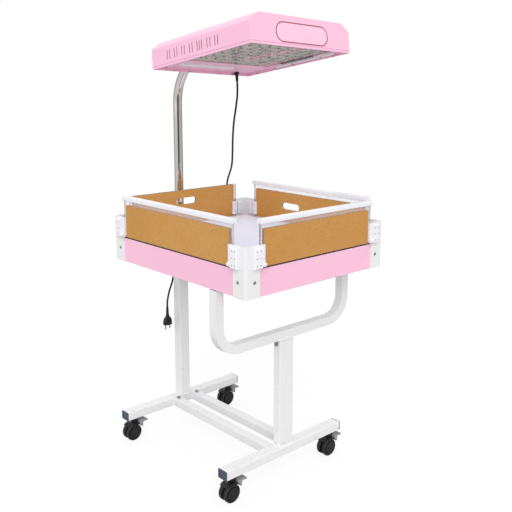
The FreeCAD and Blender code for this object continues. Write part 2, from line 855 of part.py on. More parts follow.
def mast():
    body = new_body("mast")
    path = body.newObject("Sketcher::SketchObject", "mast_path")
    path.AttachmentSupport = [(origin_plane(body, "YZ_Plane"), "")]
    path.MapMode = "FlatFace"
    low = number("mast_base")
    high = number("mast_straight")
    bend = number("mast_bend")
    turn = math.radians(number("turn_angle"))
    end = Vector(bend * (math.cos(turn) - 1), high + bend * math.sin(turn), 0)
    tail = Vector(-math.sin(turn), math.cos(turn), 0) * number("mast_tail")
    path.addGeometry(Part.LineSegment(Vector(0, low, 0), Vector(0, high, 0)), False)
    arc = Part.Circle(Vector(-bend, high, 0), Vector(0, 0, 1), bend)
    path.addGeometry(Part.ArcOfCircle(arc, 0, turn), False)
    path.addGeometry(Part.LineSegment(end, end + tail), False)
    section = body.newObject("Sketcher::SketchObject", "mast_section")
    section.AttachmentSupport = [(origin_plane(body, "XY_Plane"), "")]
    section.MapMode = "FlatFace"
    section.setExpression("AttachmentOffset.Base.z", bind("mast_base"))
    circle(section, "0", "0", "mast_size / 2")
    circle(section, "0", "0", "mast_size / 2 - mast_wall")
    pipe = body.newObject("PartDesign::AdditivePipe", "mast_pipe")
    pipe.Profile = section
    pipe.Spine = path
    finish("mast", place(body, "0", "column_y", "0"))


# Lamp, drawn in its own frame: the origin is the middle of the rear bottom edge


def on_lamp(piece):
    tilt = Rotation(Vector(1, 0, 0), -number("lamp_pitch"))
    roll = Rotation(Vector(0, 1, 0), number("lamp_roll"))
    return place(piece, "lamp_x", "lamp_y", "lamp_z", turn=tilt.multiply(roll))


def mast_flange():
    plate = prism("flange_plate", "XZ_Plane", [centred("flange_width", "flange_height", "mast_entry")],
                  "flange_thick", back=True)
    soften(plate, "flange_round", along_y)
    bolts = []
    for side_x in (-1, 1):
        for side_z in (-1, 1):
            x = "%d * (flange_width / 2 - 12)" % side_x
            z = "mast_entry + %d * (flange_height / 2 - 12)" % side_z
            bolts.append(bolt("flange_bolt", "bolt_head", x, "flange_thick", z,
                              turn=Rotation(Vector(1, 0, 0), -90)))
    finish("mast_flange", on_lamp(fuse("mast_flange", [plate] + bolts)))


def lamp_outline(inset):
    """Section of the lamp with its two chamfered top edges, moved inwards by a wall."""
    slope = math.atan2(number("lamp_chamfer_down"), number("lamp_chamfer_in"))
    shift_in = "%s * %.6f" % (inset, math.tan(slope / 2))
    shift_down = "%s * %.6f" % (inset, math.tan(math.pi / 4 - slope / 2))
    side = "lamp_width / 2 - %s" % inset
    top = "lamp_height - %s" % inset
    shoulder = "lamp_height - lamp_chamfer_down - " + shift_down
    crown = "lamp_width / 2 - lamp_chamfer_in - " + shift_in
    return [("-(%s)" % side, "0"), (side, "0"), (side, shoulder), (crown, top),
            ("-(%s)" % crown, top), ("-(%s)" % side, shoulder)]


vent_spots = (84, 98, 122, 136, 161, 175, 200, 214, 238, 249, 260, 286, 300, 323, 336)


def lamp_housing():
    """Folded shell, open underneath, with upright vent slots in one long side."""
    body = prism("housing", "XZ_Plane", [lamp_outline("0")], "lamp_length")

    def soft(edge):
        low = edge.CenterOfMass.z < 0.01
        return along_y(edge) and not low
    soften(body, "lamp_round", soft)
    pocket(body, "XZ_Plane", [lamp_outline("lamp_wall")], "lamp_length - 2 * lamp_wall",
           offset="lamp_wall", back=True)
    slots = []
    for spot in vent_spots:
        slots.append(box("vent", ("20", "vent_width", "vent_height"),
                         ("-lamp_width / 2 - 8", "-%g - vent_width / 2" % spot, "vent_low")))
    opening = box("switch_hole", ("switch_width + 1.6", "20", "switch_height + 1.6"),
                  ("switch_shift - switch_width / 2 - 0.8", "-10",
                   "switch_lift - switch_height / 2 - 0.8"))
    piece = cut("lamp_housing", body, fuse("housing_holes", slots + [opening]))
    finish("lamp_housing", on_lamp(piece))


def lamp_base_frame():
    """Inner sheet frame that closes the rim of the housing round the reflector."""
    outer = rectangle("-lamp_inside", "lamp_inside", "-lamp_length + lamp_wall", "-lamp_wall")
    inner = rectangle("-reflector_width / 2", "reflector_width / 2",
                      "reflector_front", "reflector_front + reflector_length")
    gland_hole = ("gland_shift", "-gland_inset", "gland_size / 2 + running_fit")
    plate = prism("base_plate", "XY_Plane", [outer, inner, gland_hole], "base_sheet",
                  offset="reflector_lift")
    rim_inner = rectangle("-lamp_inside + base_sheet", "lamp_inside - base_sheet",
                          "-lamp_length + lamp_wall + base_sheet", "-lamp_wall - base_sheet")
    rim = prism("base_rim_body", "XY_Plane", [outer, rim_inner], "reflector_lift - base_lift",
                offset="base_lift")
    finish("lamp_base_frame", on_lamp(fuse("lamp_base_frame", [plate, rim])))


def reflector_panel():
    body = prism("reflector_panel", "XY_Plane",
                 [rectangle("-reflector_width / 2 - 6", "reflector_width / 2 + 6",
                            "reflector_front - 6", "reflector_front + reflector_length + 6")],
                 "base_sheet", offset="reflector_lift + base_sheet")
    finish("reflector_panel", on_lamp(body))


def led_lenses():
    """Rows of clear domed lenses under the reflector."""
    lenses = []
    columns_half = (number("lens_across") - 1) / 2
    rows_half = (number("lens_along") - 1) / 2
    for column in range(int(number("lens_across"))):
        for line in range(int(number("lens_along"))):
            lens = doc.addObject("Part::Cone", "lens")
            lens.setExpression("Radius1", bind("lens_size / 3"))
            lens.setExpression("Radius2", bind("lens_size / 2"))
            lens.setExpression("Height", bind("lens_drop"))
            place(lens, "lens_pitch * %g" % (column - columns_half),
                  "reflector_front + reflector_length / 2 + lens_row_pitch * %g" % (line - rows_half),
                  "reflector_lift + base_sheet - lens_drop")
            lenses.append(lens)
    finish("led_lenses", on_lamp(group("led_lenses", lenses)))


def led_board():
    body = prism("led_board", "XY_Plane",
                 [rectangle("-reflector_width / 2 + board_margin", "reflector_width / 2 - board_margin",
                            "reflector_front + board_margin",
                            "reflector_front + reflector_length - board_margin")],
                 "board_thick", offset="reflector_lift + 2 * base_sheet")
    finish("led_board", on_lamp(body))


def light_strips():
    """White diffuser strips beside and behind the reflector."""
    side = box("strip_side", ("strip_width", "side_strip_length", "strip_height"),
               ("reflector_width / 2 + 6", "reflector_front + 12", "reflector_lift - strip_height"))
    rear = box("strip_rear", ("rear_strip_length", "strip_width", "strip_height"),
               ("-reflector_width / 2", "reflector_end + 40",
                "reflector_lift - strip_height"))
    finish("light_strips", on_lamp(group("light_strips", [side, rear])))


def driver_box():
    body = prism("driver_box", "XY_Plane",
                 [rectangle("-driver_width / 2", "driver_width / 2",
                            "reflector_end + driver_gap", "-driver_inset")], "driver_height",
                 offset="reflector_lift + base_sheet")
    soften(body, "3", along_z)
    finish("driver_box", on_lamp(body))


def power_switch():
    rocker = prism("power_switch", "YZ_Plane",
                   [[("-8", "switch_lift - switch_height / 2 + 3"), ("-8", "switch_lift + switch_height / 2 - 3"),
                     ("2.6", "switch_lift + switch_height / 2"), ("0.4", "switch_lift"),
                     ("0.8", "switch_lift - switch_height / 2")]],
                   "switch_width", offset="switch_shift", middle=True)
    finish("power_switch", on_lamp(rocker))


def cord_gland():
    """Gland in the lamp's floor with a tapered strain relief under it."""
    floor = "reflector_lift"
    nut = rod("gland_nut_body", "gland_size / 2 + 2", "gland_nut", ("0", "0", floor + " - gland_nut"))
    relief = doc.addObject("Part::Cone", "gland_relief")
    relief.setExpression("Radius1", bind("cord_size / 2 + 1"))
    relief.setExpression("Radius2", bind("gland_size / 2"))
    relief.setExpression("Height", bind("gland_length"))
    place(relief, "0", "0", floor + " - gland_nut - gland_length")
    shank = rod("gland_shank", "gland_size / 2", "base_sheet + 8", ("0", "0", floor))
    piece = fuse("gland_pieces", [nut, relief, shank])
    place(piece, "gland_shift", "-gland_inset")
    finish("cord_gland", on_lamp(group("cord_gland", [piece])))


# Cord: points chosen by hand, straight runs joined by tangent arcs

cord_points = [
    Vector(132.16, 156.12, 1285.56),
    Vector(130.2, 150.4, 1246),
    Vector(122, 152, 1190),
    Vector(122, 163, 1145.5),
    Vector(131, 180, 1092),
    Vector(150, 204, 1036),
    Vector(173, 234, 980.5),
    Vector(190, 270, 944),
    Vector(206, 303, 912),
    Vector(218, 322, 866),
    Vector(221, 327, 806),
    Vector(215, 332, 744),
    Vector(196, 338, 694),
    Vector(158, 346, 672),
    Vector(109, 353, 666),
    Vector(62, 357, 667),
    Vector(24, 358.75, 656),
    Vector(-9.5, 358.75, 627),
    Vector(-10, 358.75, 584),
    Vector(-19, 355.5, 549),
    Vector(-36, 351, 519),
    Vector(-48, 346, 490),
    Vector(-54, 343, 466),
    Vector(-54, 343, 448),
]


def rounded_path(points):
    """Straight runs joined by the largest tangent arcs that the runs allow."""
    edges = []
    radii = []
    start = points[0]
    for before, corner, after in zip(points, points[1:], points[2:]):
        back = (before - corner).normalize()
        ahead = (after - corner).normalize()
        turn = math.pi - back.getAngle(ahead)
        reach = 0.45 * min((corner - before).Length, (after - corner).Length)
        radii.append(reach / math.tan(turn / 2))
        first = corner + back * reach
        last = corner + ahead * reach
        middle_way = (back + ahead).normalize()
        gap = radii[-1] / math.cos(turn / 2) - radii[-1]
        edges.append(Part.LineSegment(start, first).toShape())
        edges.append(Part.Arc(first, corner + middle_way * gap, last).toShape())
        start = last
    edges.append(Part.LineSegment(start, points[-1]).toShape())
    return edges, radii


def cord():
    edges, radii = rounded_path(cord_points)
    path = Part.Wire(edges)
    radius = number("cord_size") / 2
    ring = Part.Circle(cord_points[0], cord_points[1] - cord_points[0], radius)
    shape = path.makePipeShell([Part.Wire([ring.toShape()])], True, True)
    piece = doc.addObject("Part::Feature", "cord")
    piece.Shape = shape
    piece.Placement = Placement()
    print("cord length %.0f, radii %s" % (path.Length, " ".join("%.0f" % radius for radius in radii)))
    print("cord volume %.0f, section times length %.0f"
          % (shape.Volume, math.pi * radius * radius * path.Length))
    finish("cord", piece)


def plug():
    """Moulded plug that hangs on the cord with its pins down."""
    end = cord_points[-1]
    x, y, z = ("%g" % value for value in end)
    relief = doc.addObject("Part::Cone", "plug_relief")
    relief.setExpression("Radius1", bind("plug_thick / 3"))
    relief.setExpression("Radius2", bind("cord_size / 2 + 1"))
    relief.setExpression("Height", bind("plug_relief"))
    place(relief, "0", "0", "-plug_relief")
    body = prism("plug_body", "XY_Plane", [centred("plug_width", "plug_thick")], "plug_length",
                 offset="-plug_relief - plug_length")
    soften(body, "5", along_z)
    pins = [rod("plug_pin", "2", "19", ("%d * 9.5" % side, "0", "-plug_relief - plug_length - 19"))
            for side in (-1, 1)]
    piece = fuse("plug", [relief, body] + pins)
    finish("plug", place(piece, x, y, z))


# Casters, drawn about the stem with the floor at zero


def at_caster(piece, spot):
    side, y = spot
    return place(piece, "%d * caster_x" % side, y, "0")


caster_spots = ((-1, "front_rail_y"), (1, "front_rail_y"), (-1, "column_y"), (1, "column_y"))


def caster_stems():
    stems = []
    for spot in caster_spots:
        flange = rod("stem_flange_body", "stem_flange / 2", "stem_flange_thick",
                     ("0", "0", "caster_height - stem_flange_thick"))
        pin = rod("stem_pin", "stem_size / 2", "caster_height - stem_base - 1", ("0", "0", "stem_base"))
        stems.append(at_caster(fuse("caster_stem", [flange, pin]), spot))
    finish("caster_stems", group("caster_stems", stems))


def caster_wheels(count, spot):
    """Two wheels on one hub, turned as a single profile."""
    outside = "wheel_outside"
    inside = "web_thick / 2 + wheel_gap"
    rim = "wheel_size / 2"
    half = [
        (outside, "0"), (outside, "hub_size / 2 + 1"), (outside + " - 3", "hub_size / 2 + 3"),
        (outside + " - 3", rim + " - 8"), (outside, rim + " - 6"), (outside, rim + " - 3"),
        (outside + " - 3", rim), (inside + " + 3", rim), (inside, rim + " - 3"),
        (inside, "hub_size / 2"),
    ]
    mirrored = [("-(%s)" % x, y) for x, y in reversed(half)]
    body = new_body("wheels_%d" % count)
    sketch = draw(body, "YZ_Plane", [half + mirrored])
    turned = body.newObject("PartDesign::Revolution", "wheels_turned")
    turned.Profile = sketch
    turned.ReferenceAxis = (sketch, ["H_Axis"])
    turned.Angle = 360
    finish("caster_wheels_%d" % count,
           place(body, "%d * caster_x - caster_trail" % spot[0], spot[1], "axle_height"))


def caster_hood(count, spot):
    """Black hood over both wheels, with the web that carries the axle and the pedal."""
    across = "2 * wheel_outside"
    start = ("-caster_trail", "-wheel_outside", "axle_height")
    shroud = rod("hood_outer", "hood_inside + hood_wall", across, start, axis="y")
    boss = rod("hood_boss", "boss_size / 2", "caster_height - stem_flange_thick - 1 - axle_height",
               ("0", "0", "axle_height"))
    inner = rod("hood_inner", "hood_inside", "2 * wheel_outside + 2",
                ("-caster_trail", "-wheel_outside - 1", "axle_height"), axis="y")
    below = box("hood_below", ("200", "200", "100"), ("-100", "-100", "hood_low - 100"))
    crown = cut("hood_crown", cut("hood_ring", fuse("hood_blank", [shroud, boss]), inner), below)
    web = prism("hood_web", "XZ_Plane",
                [[("-caster_trail - 10", "axle_height"), ("-caster_trail - 8", "hood_low + 6"),
                  ("0", "hood_low + 8"), ("pedal_out", "pedal_height + pedal_lug / 2"),
                  ("pedal_out", "pedal_height - pedal_lug / 2"), ("4", "hood_low - 6"),
                  ("-caster_trail + 10", "axle_height")]], "web_thick", middle=True)
    axle_eye = rod("hood_eye", "hub_size / 2 + 6", "web_thick",
                   ("-caster_trail", "-web_thick / 2", "axle_height"), axis="y")
    lug = rod("hood_lug", "pedal_lug / 2", "web_thick",
              ("pedal_out", "-web_thick / 2", "pedal_height"), axis="y")
    stem_bore = rod("stem_bore", "stem_size / 2 + running_fit", "40", ("0", "0", "stem_base - 1"))
    axle_bore = rod("axle_bore", "hub_size / 2 + running_fit / 2", "40",
                    ("-caster_trail", "-20", "axle_height"), axis="y")
    pin_bore = rod("pin_bore", "pedal_pin / 2 + running_fit / 2", "40",
                   ("pedal_out", "-20", "pedal_height"), axis="y")
    solid = fuse("hood_solid", [crown, web, axle_eye, lug])
    piece = cut("caster_hood_%d" % count, solid, fuse("hood_bores", [stem_bore, axle_bore, pin_bore]))
    finish("caster_hood_%d" % count, at_caster(piece, spot))


def caster_brake(count, spot):
    """Brake pedal with a shoe that swings against the treads."""
    x, z = "pedal_out", "pedal_height"
    profile = [
        (x + " - 4.5", z + " + 2"), (x + " - 3", z + " + 5.5"), (x + " + 3", z + " + 6.5"),
        ("pedal_reach", z + " + 2"), ("pedal_reach + 1", z + " - 1"), (x + " + 13", z + " + 0.5"),
        (x + " + 10", z + " - 4"), (x + " + 9.5", z + " - 15"), (x + " + 7", z + " - 17.5"),
        (x + " + 5.3", z + " - 15.5"), (x + " + 3", z + " - 10"), (x + " - 3", z + " - 4.5"),
        (x + " - 4.7", z + " - 1"),
    ]
    body = prism("pedal_body", "XZ_Plane", [profile], "pedal_width", middle=True)
    soften(body, "6", lambda edge: edge.BoundBox.ZLength < 3.5 and edge.BoundBox.YLength < 0.01
           and edge.CenterOfMass.x > number("pedal_reach"))
    notch = box("pedal_notch", ("15", "web_thick + 1.2", "30"),
                (x + " - 8", "-web_thick / 2 - 0.6", z + " - 18"))
    pin = rod("pedal_pin_body", "pedal_pin / 2", "pedal_width - 2",
              (x, "-pedal_width / 2 + 1", z), axis="y")
    piece = fuse("caster_brake_%d" % count, [cut("pedal_notched", body, notch), pin])
    finish("caster_brake_%d" % count, at_caster(piece, spot))


# Build every piece

foot_rails()
rail_end_caps()
crossbars()
columns()
u_bracket()
frame_bolts()
column_bush()
clamp_knob()
cord_clip()
aprons()
corner_posts()
crib_screws()
deck()
mattress()
crib_rear_mount()
for side in ("left", "right", "front", "rear"):
    panel(side)
    mask(side)
    hinge_shoes(side)
for side in ("left", "right", "front"):
    cap_rail(side)
hinge_blocks()
mast()
mast_flange()
lamp_housing()
lamp_base_frame()
reflector_panel()
led_lenses()
led_board()
light_strips()
driver_box()
power_switch()
cord_gland()
cord()
plug()
caster_stems()
for count, spot in enumerate(caster_spots, start=1):
    caster_hood(count, spot)
    caster_wheels(count, spot)
    caster_brake(count, spot)

doc.recompute()

for item in doc.Objects:
    if "Invalid" in item.State or "Error" in item.State:
        raise RuntimeError("%s failed to build: %s" % (item.Name, item.State))
for piece in parts:
    if piece.Shape.isNull() or not piece.Shape.isValid():
        raise RuntimeError("%s has no valid shape" % piece.Label)

os.makedirs("parts", exist_ok=True)
for piece in parts:
    piece.Shape.exportStep("parts/%s.step" % piece.Label)
print("%d parts written" % len(parts))
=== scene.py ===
import bpy
import bmesh
import json
from math import atan2, copysign, cos, pi, radians, sin, tan
from mathutils import Matrix, Vector
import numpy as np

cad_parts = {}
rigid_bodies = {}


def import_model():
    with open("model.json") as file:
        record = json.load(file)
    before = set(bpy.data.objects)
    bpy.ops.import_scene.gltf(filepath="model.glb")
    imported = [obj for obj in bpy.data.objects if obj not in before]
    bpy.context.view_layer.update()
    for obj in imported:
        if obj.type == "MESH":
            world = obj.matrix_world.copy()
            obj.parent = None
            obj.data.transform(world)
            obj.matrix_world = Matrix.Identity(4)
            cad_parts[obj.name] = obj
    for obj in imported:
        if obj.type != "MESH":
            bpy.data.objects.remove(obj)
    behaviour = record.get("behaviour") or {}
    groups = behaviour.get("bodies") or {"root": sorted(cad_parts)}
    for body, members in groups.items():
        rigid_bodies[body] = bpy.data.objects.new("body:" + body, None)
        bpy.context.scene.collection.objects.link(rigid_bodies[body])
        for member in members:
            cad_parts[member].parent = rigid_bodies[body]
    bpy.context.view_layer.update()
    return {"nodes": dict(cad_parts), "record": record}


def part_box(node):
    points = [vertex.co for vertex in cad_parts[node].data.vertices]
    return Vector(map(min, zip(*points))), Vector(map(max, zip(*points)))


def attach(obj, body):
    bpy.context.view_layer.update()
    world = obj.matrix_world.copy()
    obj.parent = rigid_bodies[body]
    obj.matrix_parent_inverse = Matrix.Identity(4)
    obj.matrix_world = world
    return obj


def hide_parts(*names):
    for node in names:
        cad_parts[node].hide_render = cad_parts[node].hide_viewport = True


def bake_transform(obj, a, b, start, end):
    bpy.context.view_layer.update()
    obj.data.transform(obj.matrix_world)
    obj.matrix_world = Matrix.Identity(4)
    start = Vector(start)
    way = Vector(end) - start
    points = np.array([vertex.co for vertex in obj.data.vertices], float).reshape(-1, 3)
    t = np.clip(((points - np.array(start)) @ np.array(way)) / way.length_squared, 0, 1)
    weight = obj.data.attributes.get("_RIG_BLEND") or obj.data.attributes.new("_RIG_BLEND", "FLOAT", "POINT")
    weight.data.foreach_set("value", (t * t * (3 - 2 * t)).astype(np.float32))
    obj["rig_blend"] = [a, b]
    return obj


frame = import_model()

nodes = frame["nodes"]
sceneNow = bpy.context.scene


def placed(name, data):
    item = bpy.data.objects.new(name, data)
    sceneNow.collection.objects.link(item)
    return item


# camera, as the photograph was taken

camera = {
    "place": (-1.5886, -1.8468, 1.2885),
    "turn": 42.1,             # degrees to the right of straight ahead
    "dip": 10.3,
    "lens": 52.22, "sensor": 36,
    "shiftDown": 0.080,
    "farEnd": 60,
}


def makeCamera():
    data = bpy.data.cameras.new("camera")
    data.sensor_width = camera["sensor"]
    data.lens = camera["lens"]
    data.shift_y = -camera["shiftDown"]
    data.clip_end = camera["farEnd"]
    turn, dip = radians(camera["turn"]), radians(camera["dip"])
    ahead = Vector((sin(turn) * cos(dip), cos(turn) * cos(dip), -sin(dip)))
    right = Vector((cos(turn), -sin(turn), 0))
    up = right.cross(ahead)
    item = placed("camera", data)
    item.matrix_world = Matrix.Translation(camera["place"]) @ Matrix((right, up, -ahead)).transposed().to_4x4()
    sceneNow.camera = item


makeCamera()
print("camera placed")


# node trees

class Wire:
    # a node's socket, so that shader maths reads as plain sums
    def __init__(self, board, socket):
        self.board, self.socket = board, socket

    def maths(self, operation, first, second):
        return self.board.add("ShaderNodeMath", {"operation": operation}, {0: first, 1: second})

    def __add__(self, other):
        return self.maths("ADD", self, other)

    def __sub__(self, other):
        return self.maths("SUBTRACT", self, other)

    def __rsub__(self, other):
        return self.maths("SUBTRACT", other, self)

    def __mul__(self, other):
        return self.maths("MULTIPLY", self, other)

    __radd__ = __add__
    __rmul__ = __mul__


class Board:
    # one node tree and the one way to put a node in it
    def __init__(self, tree):
        self.tree = tree

    def add(self, kind, settings=None, values=None, out=0):
        node = self.tree.nodes.new(kind)
        for name, value in (settings or {}).items():
            setattr(node, name, value)
        for name, value in (values or {}).items():
            if isinstance(value, Wire):
                self.tree.links.new(value.socket, node.inputs[name])
            else:
                node.inputs[name].default_value = value
        return Wire(self, node.outputs[out]) if len(node.outputs) else node

    def coords(self, spread=(1, 1, 1)):
        place = self.add("ShaderNodeTexCoord", out="Object")
        return self.add("ShaderNodeMapping", {}, {"Vector": place, "Scale": spread})

    def noise(self, scale, detail=3, spread=(1, 1, 1), rough=0.5):
        return self.add("ShaderNodeTexNoise", {},
                        {"Vector": self.coords(spread), "Scale": scale, "Detail": detail, "Roughness": rough})

    def window(self, wire, low, high, first=0, last=1):
        # spreads the part of a value between low and high over first to last, softly
        return self.add("ShaderNodeMapRange", {"interpolation_type": "SMOOTHSTEP"},
                        {"Value": wire, "From Min": low, "From Max": high, "To Min": first, "To Max": last})

    def patch(self, scale, detail, low, high, spread=(1, 1, 1)):
        # blotches with soft edges
        return self.window(self.noise(scale, detail, spread), low, high)

    def height(self):
        place = self.add("ShaderNodeTexCoord", out="Object")
        return self.add("ShaderNodeSeparateXYZ", {}, {0: place}, out="Z")

    def blend(self, amount, first, second):
        return self.add("ShaderNodeMix", {"data_type": "RGBA"}, {0: amount, 6: first, 7: second}, out=2)

    def bump(self, height, strength, depth, under=None):
        values = {"Height": height, "Strength": strength, "Distance": depth}
        if under:
            values["Normal"] = under
        return self.add("ShaderNodeBump", {}, values)


def shade(red, green, blue):
    # screen colour, 0 to 255, as the shader wants it
    def straight(level):
        level /= 255
        return level / 12.92 if level <= 0.04045 else ((level + 0.055) / 1.055) ** 2.4
    return (straight(red), straight(green), straight(blue), 1)


def darker(colour, amount):
    return tuple(channel * (1 - amount) for channel in colour[:3]) + (1,)


def newFinish(name):
    material = bpy.data.materials.new(name)
    material.use_nodes = True
    tree = material.node_tree
    tree.nodes.clear()
    return material, Board(tree)


def close(board, colour, rough, normal=None, fixed=None, alpha=None):
    # the shader at the end of every finish
    values = {"Base Color": colour, "Roughness": rough}
    if normal:
        values["Normal"] = normal
    if alpha is not None:
        values["Alpha"] = alpha
    values.update(fixed or {})
    shader = board.add("ShaderNodeBsdfPrincipled", {}, values)
    board.add("ShaderNodeOutputMaterial", {}, {"Surface": shader})


# finishes

def surface(recipe):
    # makes a recipe for one surface into a function that gives the named material
    def make(name, *values):
        material, board = newFinish(name)
        recipe(board, *values)
        return material
    return make


@surface
def powderCoat(board, colour, gloss, dust):
    # baked powder on steel: orange peel, faint clouding, scuffs low down
    cloud = board.patch(5, 4, 0.35, 0.7)
    speck = board.patch(420, 2, 0.66, 0.74)
    scuff = board.patch(26, 6, 0.62, 0.72, (1, 1, 3))
    low = board.window(board.height(), 0.05, 0.35, 1, 0)
    tint = board.blend(cloud * 0.5, colour, darker(colour, 0.035))
    tint = board.blend(speck * 0.25, tint, darker(colour, 0.12))
    tint = board.blend(scuff * low * dust, tint, shade(150, 146, 140))
    peel = board.bump(board.noise(380, 2), 0.10, 0.0003)
    skin = board.bump(board.noise(60, 2), 0.05, 0.001, peel)
    close(board, tint, gloss + scuff * 0.12 + cloud * 0.04, skin, {"Specular IOR Level": 0.45})


@surface
def mouldedPlastic(board, colour, gloss, grain, wear=0.3):
    # injection moulded: spark-eroded grain, flow clouding, rubbed spots
    cloud = board.patch(9, 5, 0.3, 0.75, (1, 1, 2.5))
    rubbed = board.patch(34, 5, 0.58, 0.75)
    tint = board.blend(cloud * 0.5, colour, darker(colour, 0.07))
    tint = board.blend(rubbed * wear, tint, tuple(min(1, c * 1.25 + 0.01) for c in colour[:3]) + (1,))
    skin = board.bump(board.noise(grain, 2), 0.16, 0.0002)
    skin = board.bump(board.noise(70, 2), 0.05, 0.0008, skin)
    close(board, tint, gloss + rubbed * 0.10 - cloud * 0.03, skin)


@surface
def drawnMetal(board, colour, gloss, run, streak=0.2):
    # drawn or plated metal with fine lines along its run and dull patches
    spread = tuple(0.02 if axis == run else 1 for axis in "xyz")
    lines = board.noise(520, 3, spread)
    dull = board.patch(14, 6, 0.45, 0.72)
    spots = board.patch(160, 3, 0.68, 0.76)
    tint = board.blend(board.window(lines, 0.3, 0.7) * streak, colour, darker(colour, 0.35))
    tint = board.blend(dull * 0.35, tint, darker(colour, 0.2))
    tint = board.blend(spots * 0.3, tint, darker(colour, 0.5))
    skin = board.bump(lines, 0.07, 0.0002)
    close(board, tint, gloss + dull * 0.12 + spots * 0.1, skin, {"Metallic": 1.0})


@surface
def kraftPaper(board):
    # brown masking paper on the clear panels: fibres, flecks, soft cockling, paler rubbed patches
    base, deep, pale = shade(202, 147, 76), shade(178, 118, 52), shade(213, 163, 98)
    fibre = board.window(board.noise(330, 5, (0.25, 0.25, 1), 0.7), 0.35, 0.65)
    fleck = board.patch(240, 3, 0.66, 0.72, (1, 1, 0.4))
    patch = board.patch(4.5, 5, 0.35, 0.7)
    cockle = board.noise(11, 2, (1, 1, 1.6))
    tint = board.blend(patch * 0.55, base, pale)
    tint = board.blend(fibre * 0.30, tint, deep)
    tint = board.blend(fleck * 0.55, tint, shade(133, 88, 48))
    skin = board.bump(fibre, 0.25, 0.00015)
    skin = board.bump(cockle, 0.22, 0.004, skin)
    close(board, tint, 0.62 + fibre * 0.12, skin, {"Specular IOR Level": 0.3})


@surface
def clearSheet(board, colour, body, edge, thin=None):
    # clear acrylic: almost nothing face on, brighter where it is seen along, grey and streaky at its cut edges
    slant = board.add("ShaderNodeLayerWeight", {}, {"Blend": 0.35}, out="Facing")
    smear = board.patch(18, 5, 0.45, 0.75, (1, 1, 2))
    scratch = board.patch(210, 2, 0.70, 0.74, (1, 1, 0.06))
    tint = board.blend(smear * 0.4, colour, darker(colour, 0.06))
    cover = body + slant * edge + smear * 0.05 + scratch * 0.12
    if thin:
        facing = board.add("ShaderNodeTexCoord", out="Normal")
        along = board.add("ShaderNodeSeparateXYZ", {}, {0: facing}, out=thin)
        cutEdge = board.window(along * along, 0.2, 0.6, 1, 0)
        streak = board.patch(90, 3, 0.40, 0.60, (1, 1, 0.04))
        rim = board.blend(streak, shade(206, 200, 196), shade(128, 124, 124))
        tint = board.blend(cutEdge, tint, rim)
        cover = cover + cutEdge * 0.55
    close(board, tint, 0.05 + smear * 0.08 + scratch * 0.2,
          board.bump(smear, 0.03, 0.001), {"Specular IOR Level": 0.7}, alpha=cover)


@surface
def wipeableCover(board):
    # coated cloth over foam: fine weave, soft creases, cool white
    base, deep = shade(232, 235, 251), shade(216, 219, 242)
    weave, weft = (board.add("ShaderNodeTexWave", {"bands_direction": way},
                             {"Vector": board.coords(), "Scale": 260, "Distortion": 0.6, "Detail": 1}) for way in "XY")
    crease = board.noise(7, 3, (1, 0.55, 1))
    stain = board.patch(3.5, 5, 0.4, 0.75)
    cloth = weave * weft
    tint = board.blend(stain * 0.45, base, deep)
    tint = board.blend(cloth * 0.10, tint, deep)
    skin = board.bump(cloth, 0.12, 0.0002)
    skin = board.bump(crease, 0.18, 0.006, skin)
    close(board, tint, 0.48 + cloth * 0.06 + stain * 0.05, skin, {"Sheen Weight": 0.08})


@surface
def laminateBoard(board):
    speck = board.patch(300, 2, 0.62, 0.7)
    cloud = board.patch(6, 4, 0.3, 0.7)
    base = shade(226, 224, 228)
    tint = board.blend(cloud * 0.5, base, darker(base, 0.05))
    tint = board.blend(speck * 0.4, tint, shade(186, 184, 190))
    close(board, tint, 0.42 + cloud * 0.08, board.bump(speck, 0.08, 0.0002))


@surface
def polishedReflector(board):
    # bright aluminium sheet, a little wavy and smudged, with pink patches of painted reflection of the pink lamp
    # housing
    base = shade(184, 172, 164)
    smudge = board.patch(13, 6, 0.4, 0.72)
    pinkReflection = board.patch(9, 4, 0.52, 0.66, (1, 0.6, 1))
    wave = board.noise(38, 3)
    pit = board.patch(42, 5, 0.56, 0.62)
    tint = board.blend(smudge * 0.6, base, shade(160, 147, 140))
    # pink patches: painted reflection of the pink lamp housing
    tint = board.blend(pinkReflection * 0.75, tint, shade(236, 160, 182))
    tint = board.blend(pit * 0.7, tint, shade(78, 72, 70))
    skin = board.bump(wave, 0.6, 0.012)
    close(board, tint, 0.14 + smudge * 0.16 + pit * 0.2, skin, {"Metallic": 1.0})


@surface
def circuitBoard(board):
    base, trace = shade(36, 92, 60), shade(70, 130, 84)
    tracks = board.add("ShaderNodeTexBrick", {"offset": 0.35},
                       {"Vector": board.coords(), "Scale": 26, "Mortar Size": 0.06, "Color1": (1, 1, 1, 1),
                        "Color2": (0.9, 0.9, 0.9, 1), "Mortar": (0, 0, 0, 1)}, out="Fac")
    grime = board.patch(20, 5, 0.4, 0.7)
    tint = board.blend(tracks, base, trace)
    tint = board.blend(grime * 0.3, tint, darker(base, 0.4))
    close(board, tint, 0.35 + grime * 0.15, board.bump(tracks, 0.2, 0.0003))


@surface
def cordSheath(board):
    # black flexible lead: fine extrusion lines, dust, a dull sheen
    base = shade(16, 16, 18)
    line = board.noise(600, 2, (1, 1, 0.05))
    dust = board.patch(36, 5, 0.52, 0.75)
    tint = board.blend(dust * 0.18, base, shade(70, 70, 72))
    close(board, tint, 0.42 + dust * 0.2, board.bump(line, 0.12, 0.0002))


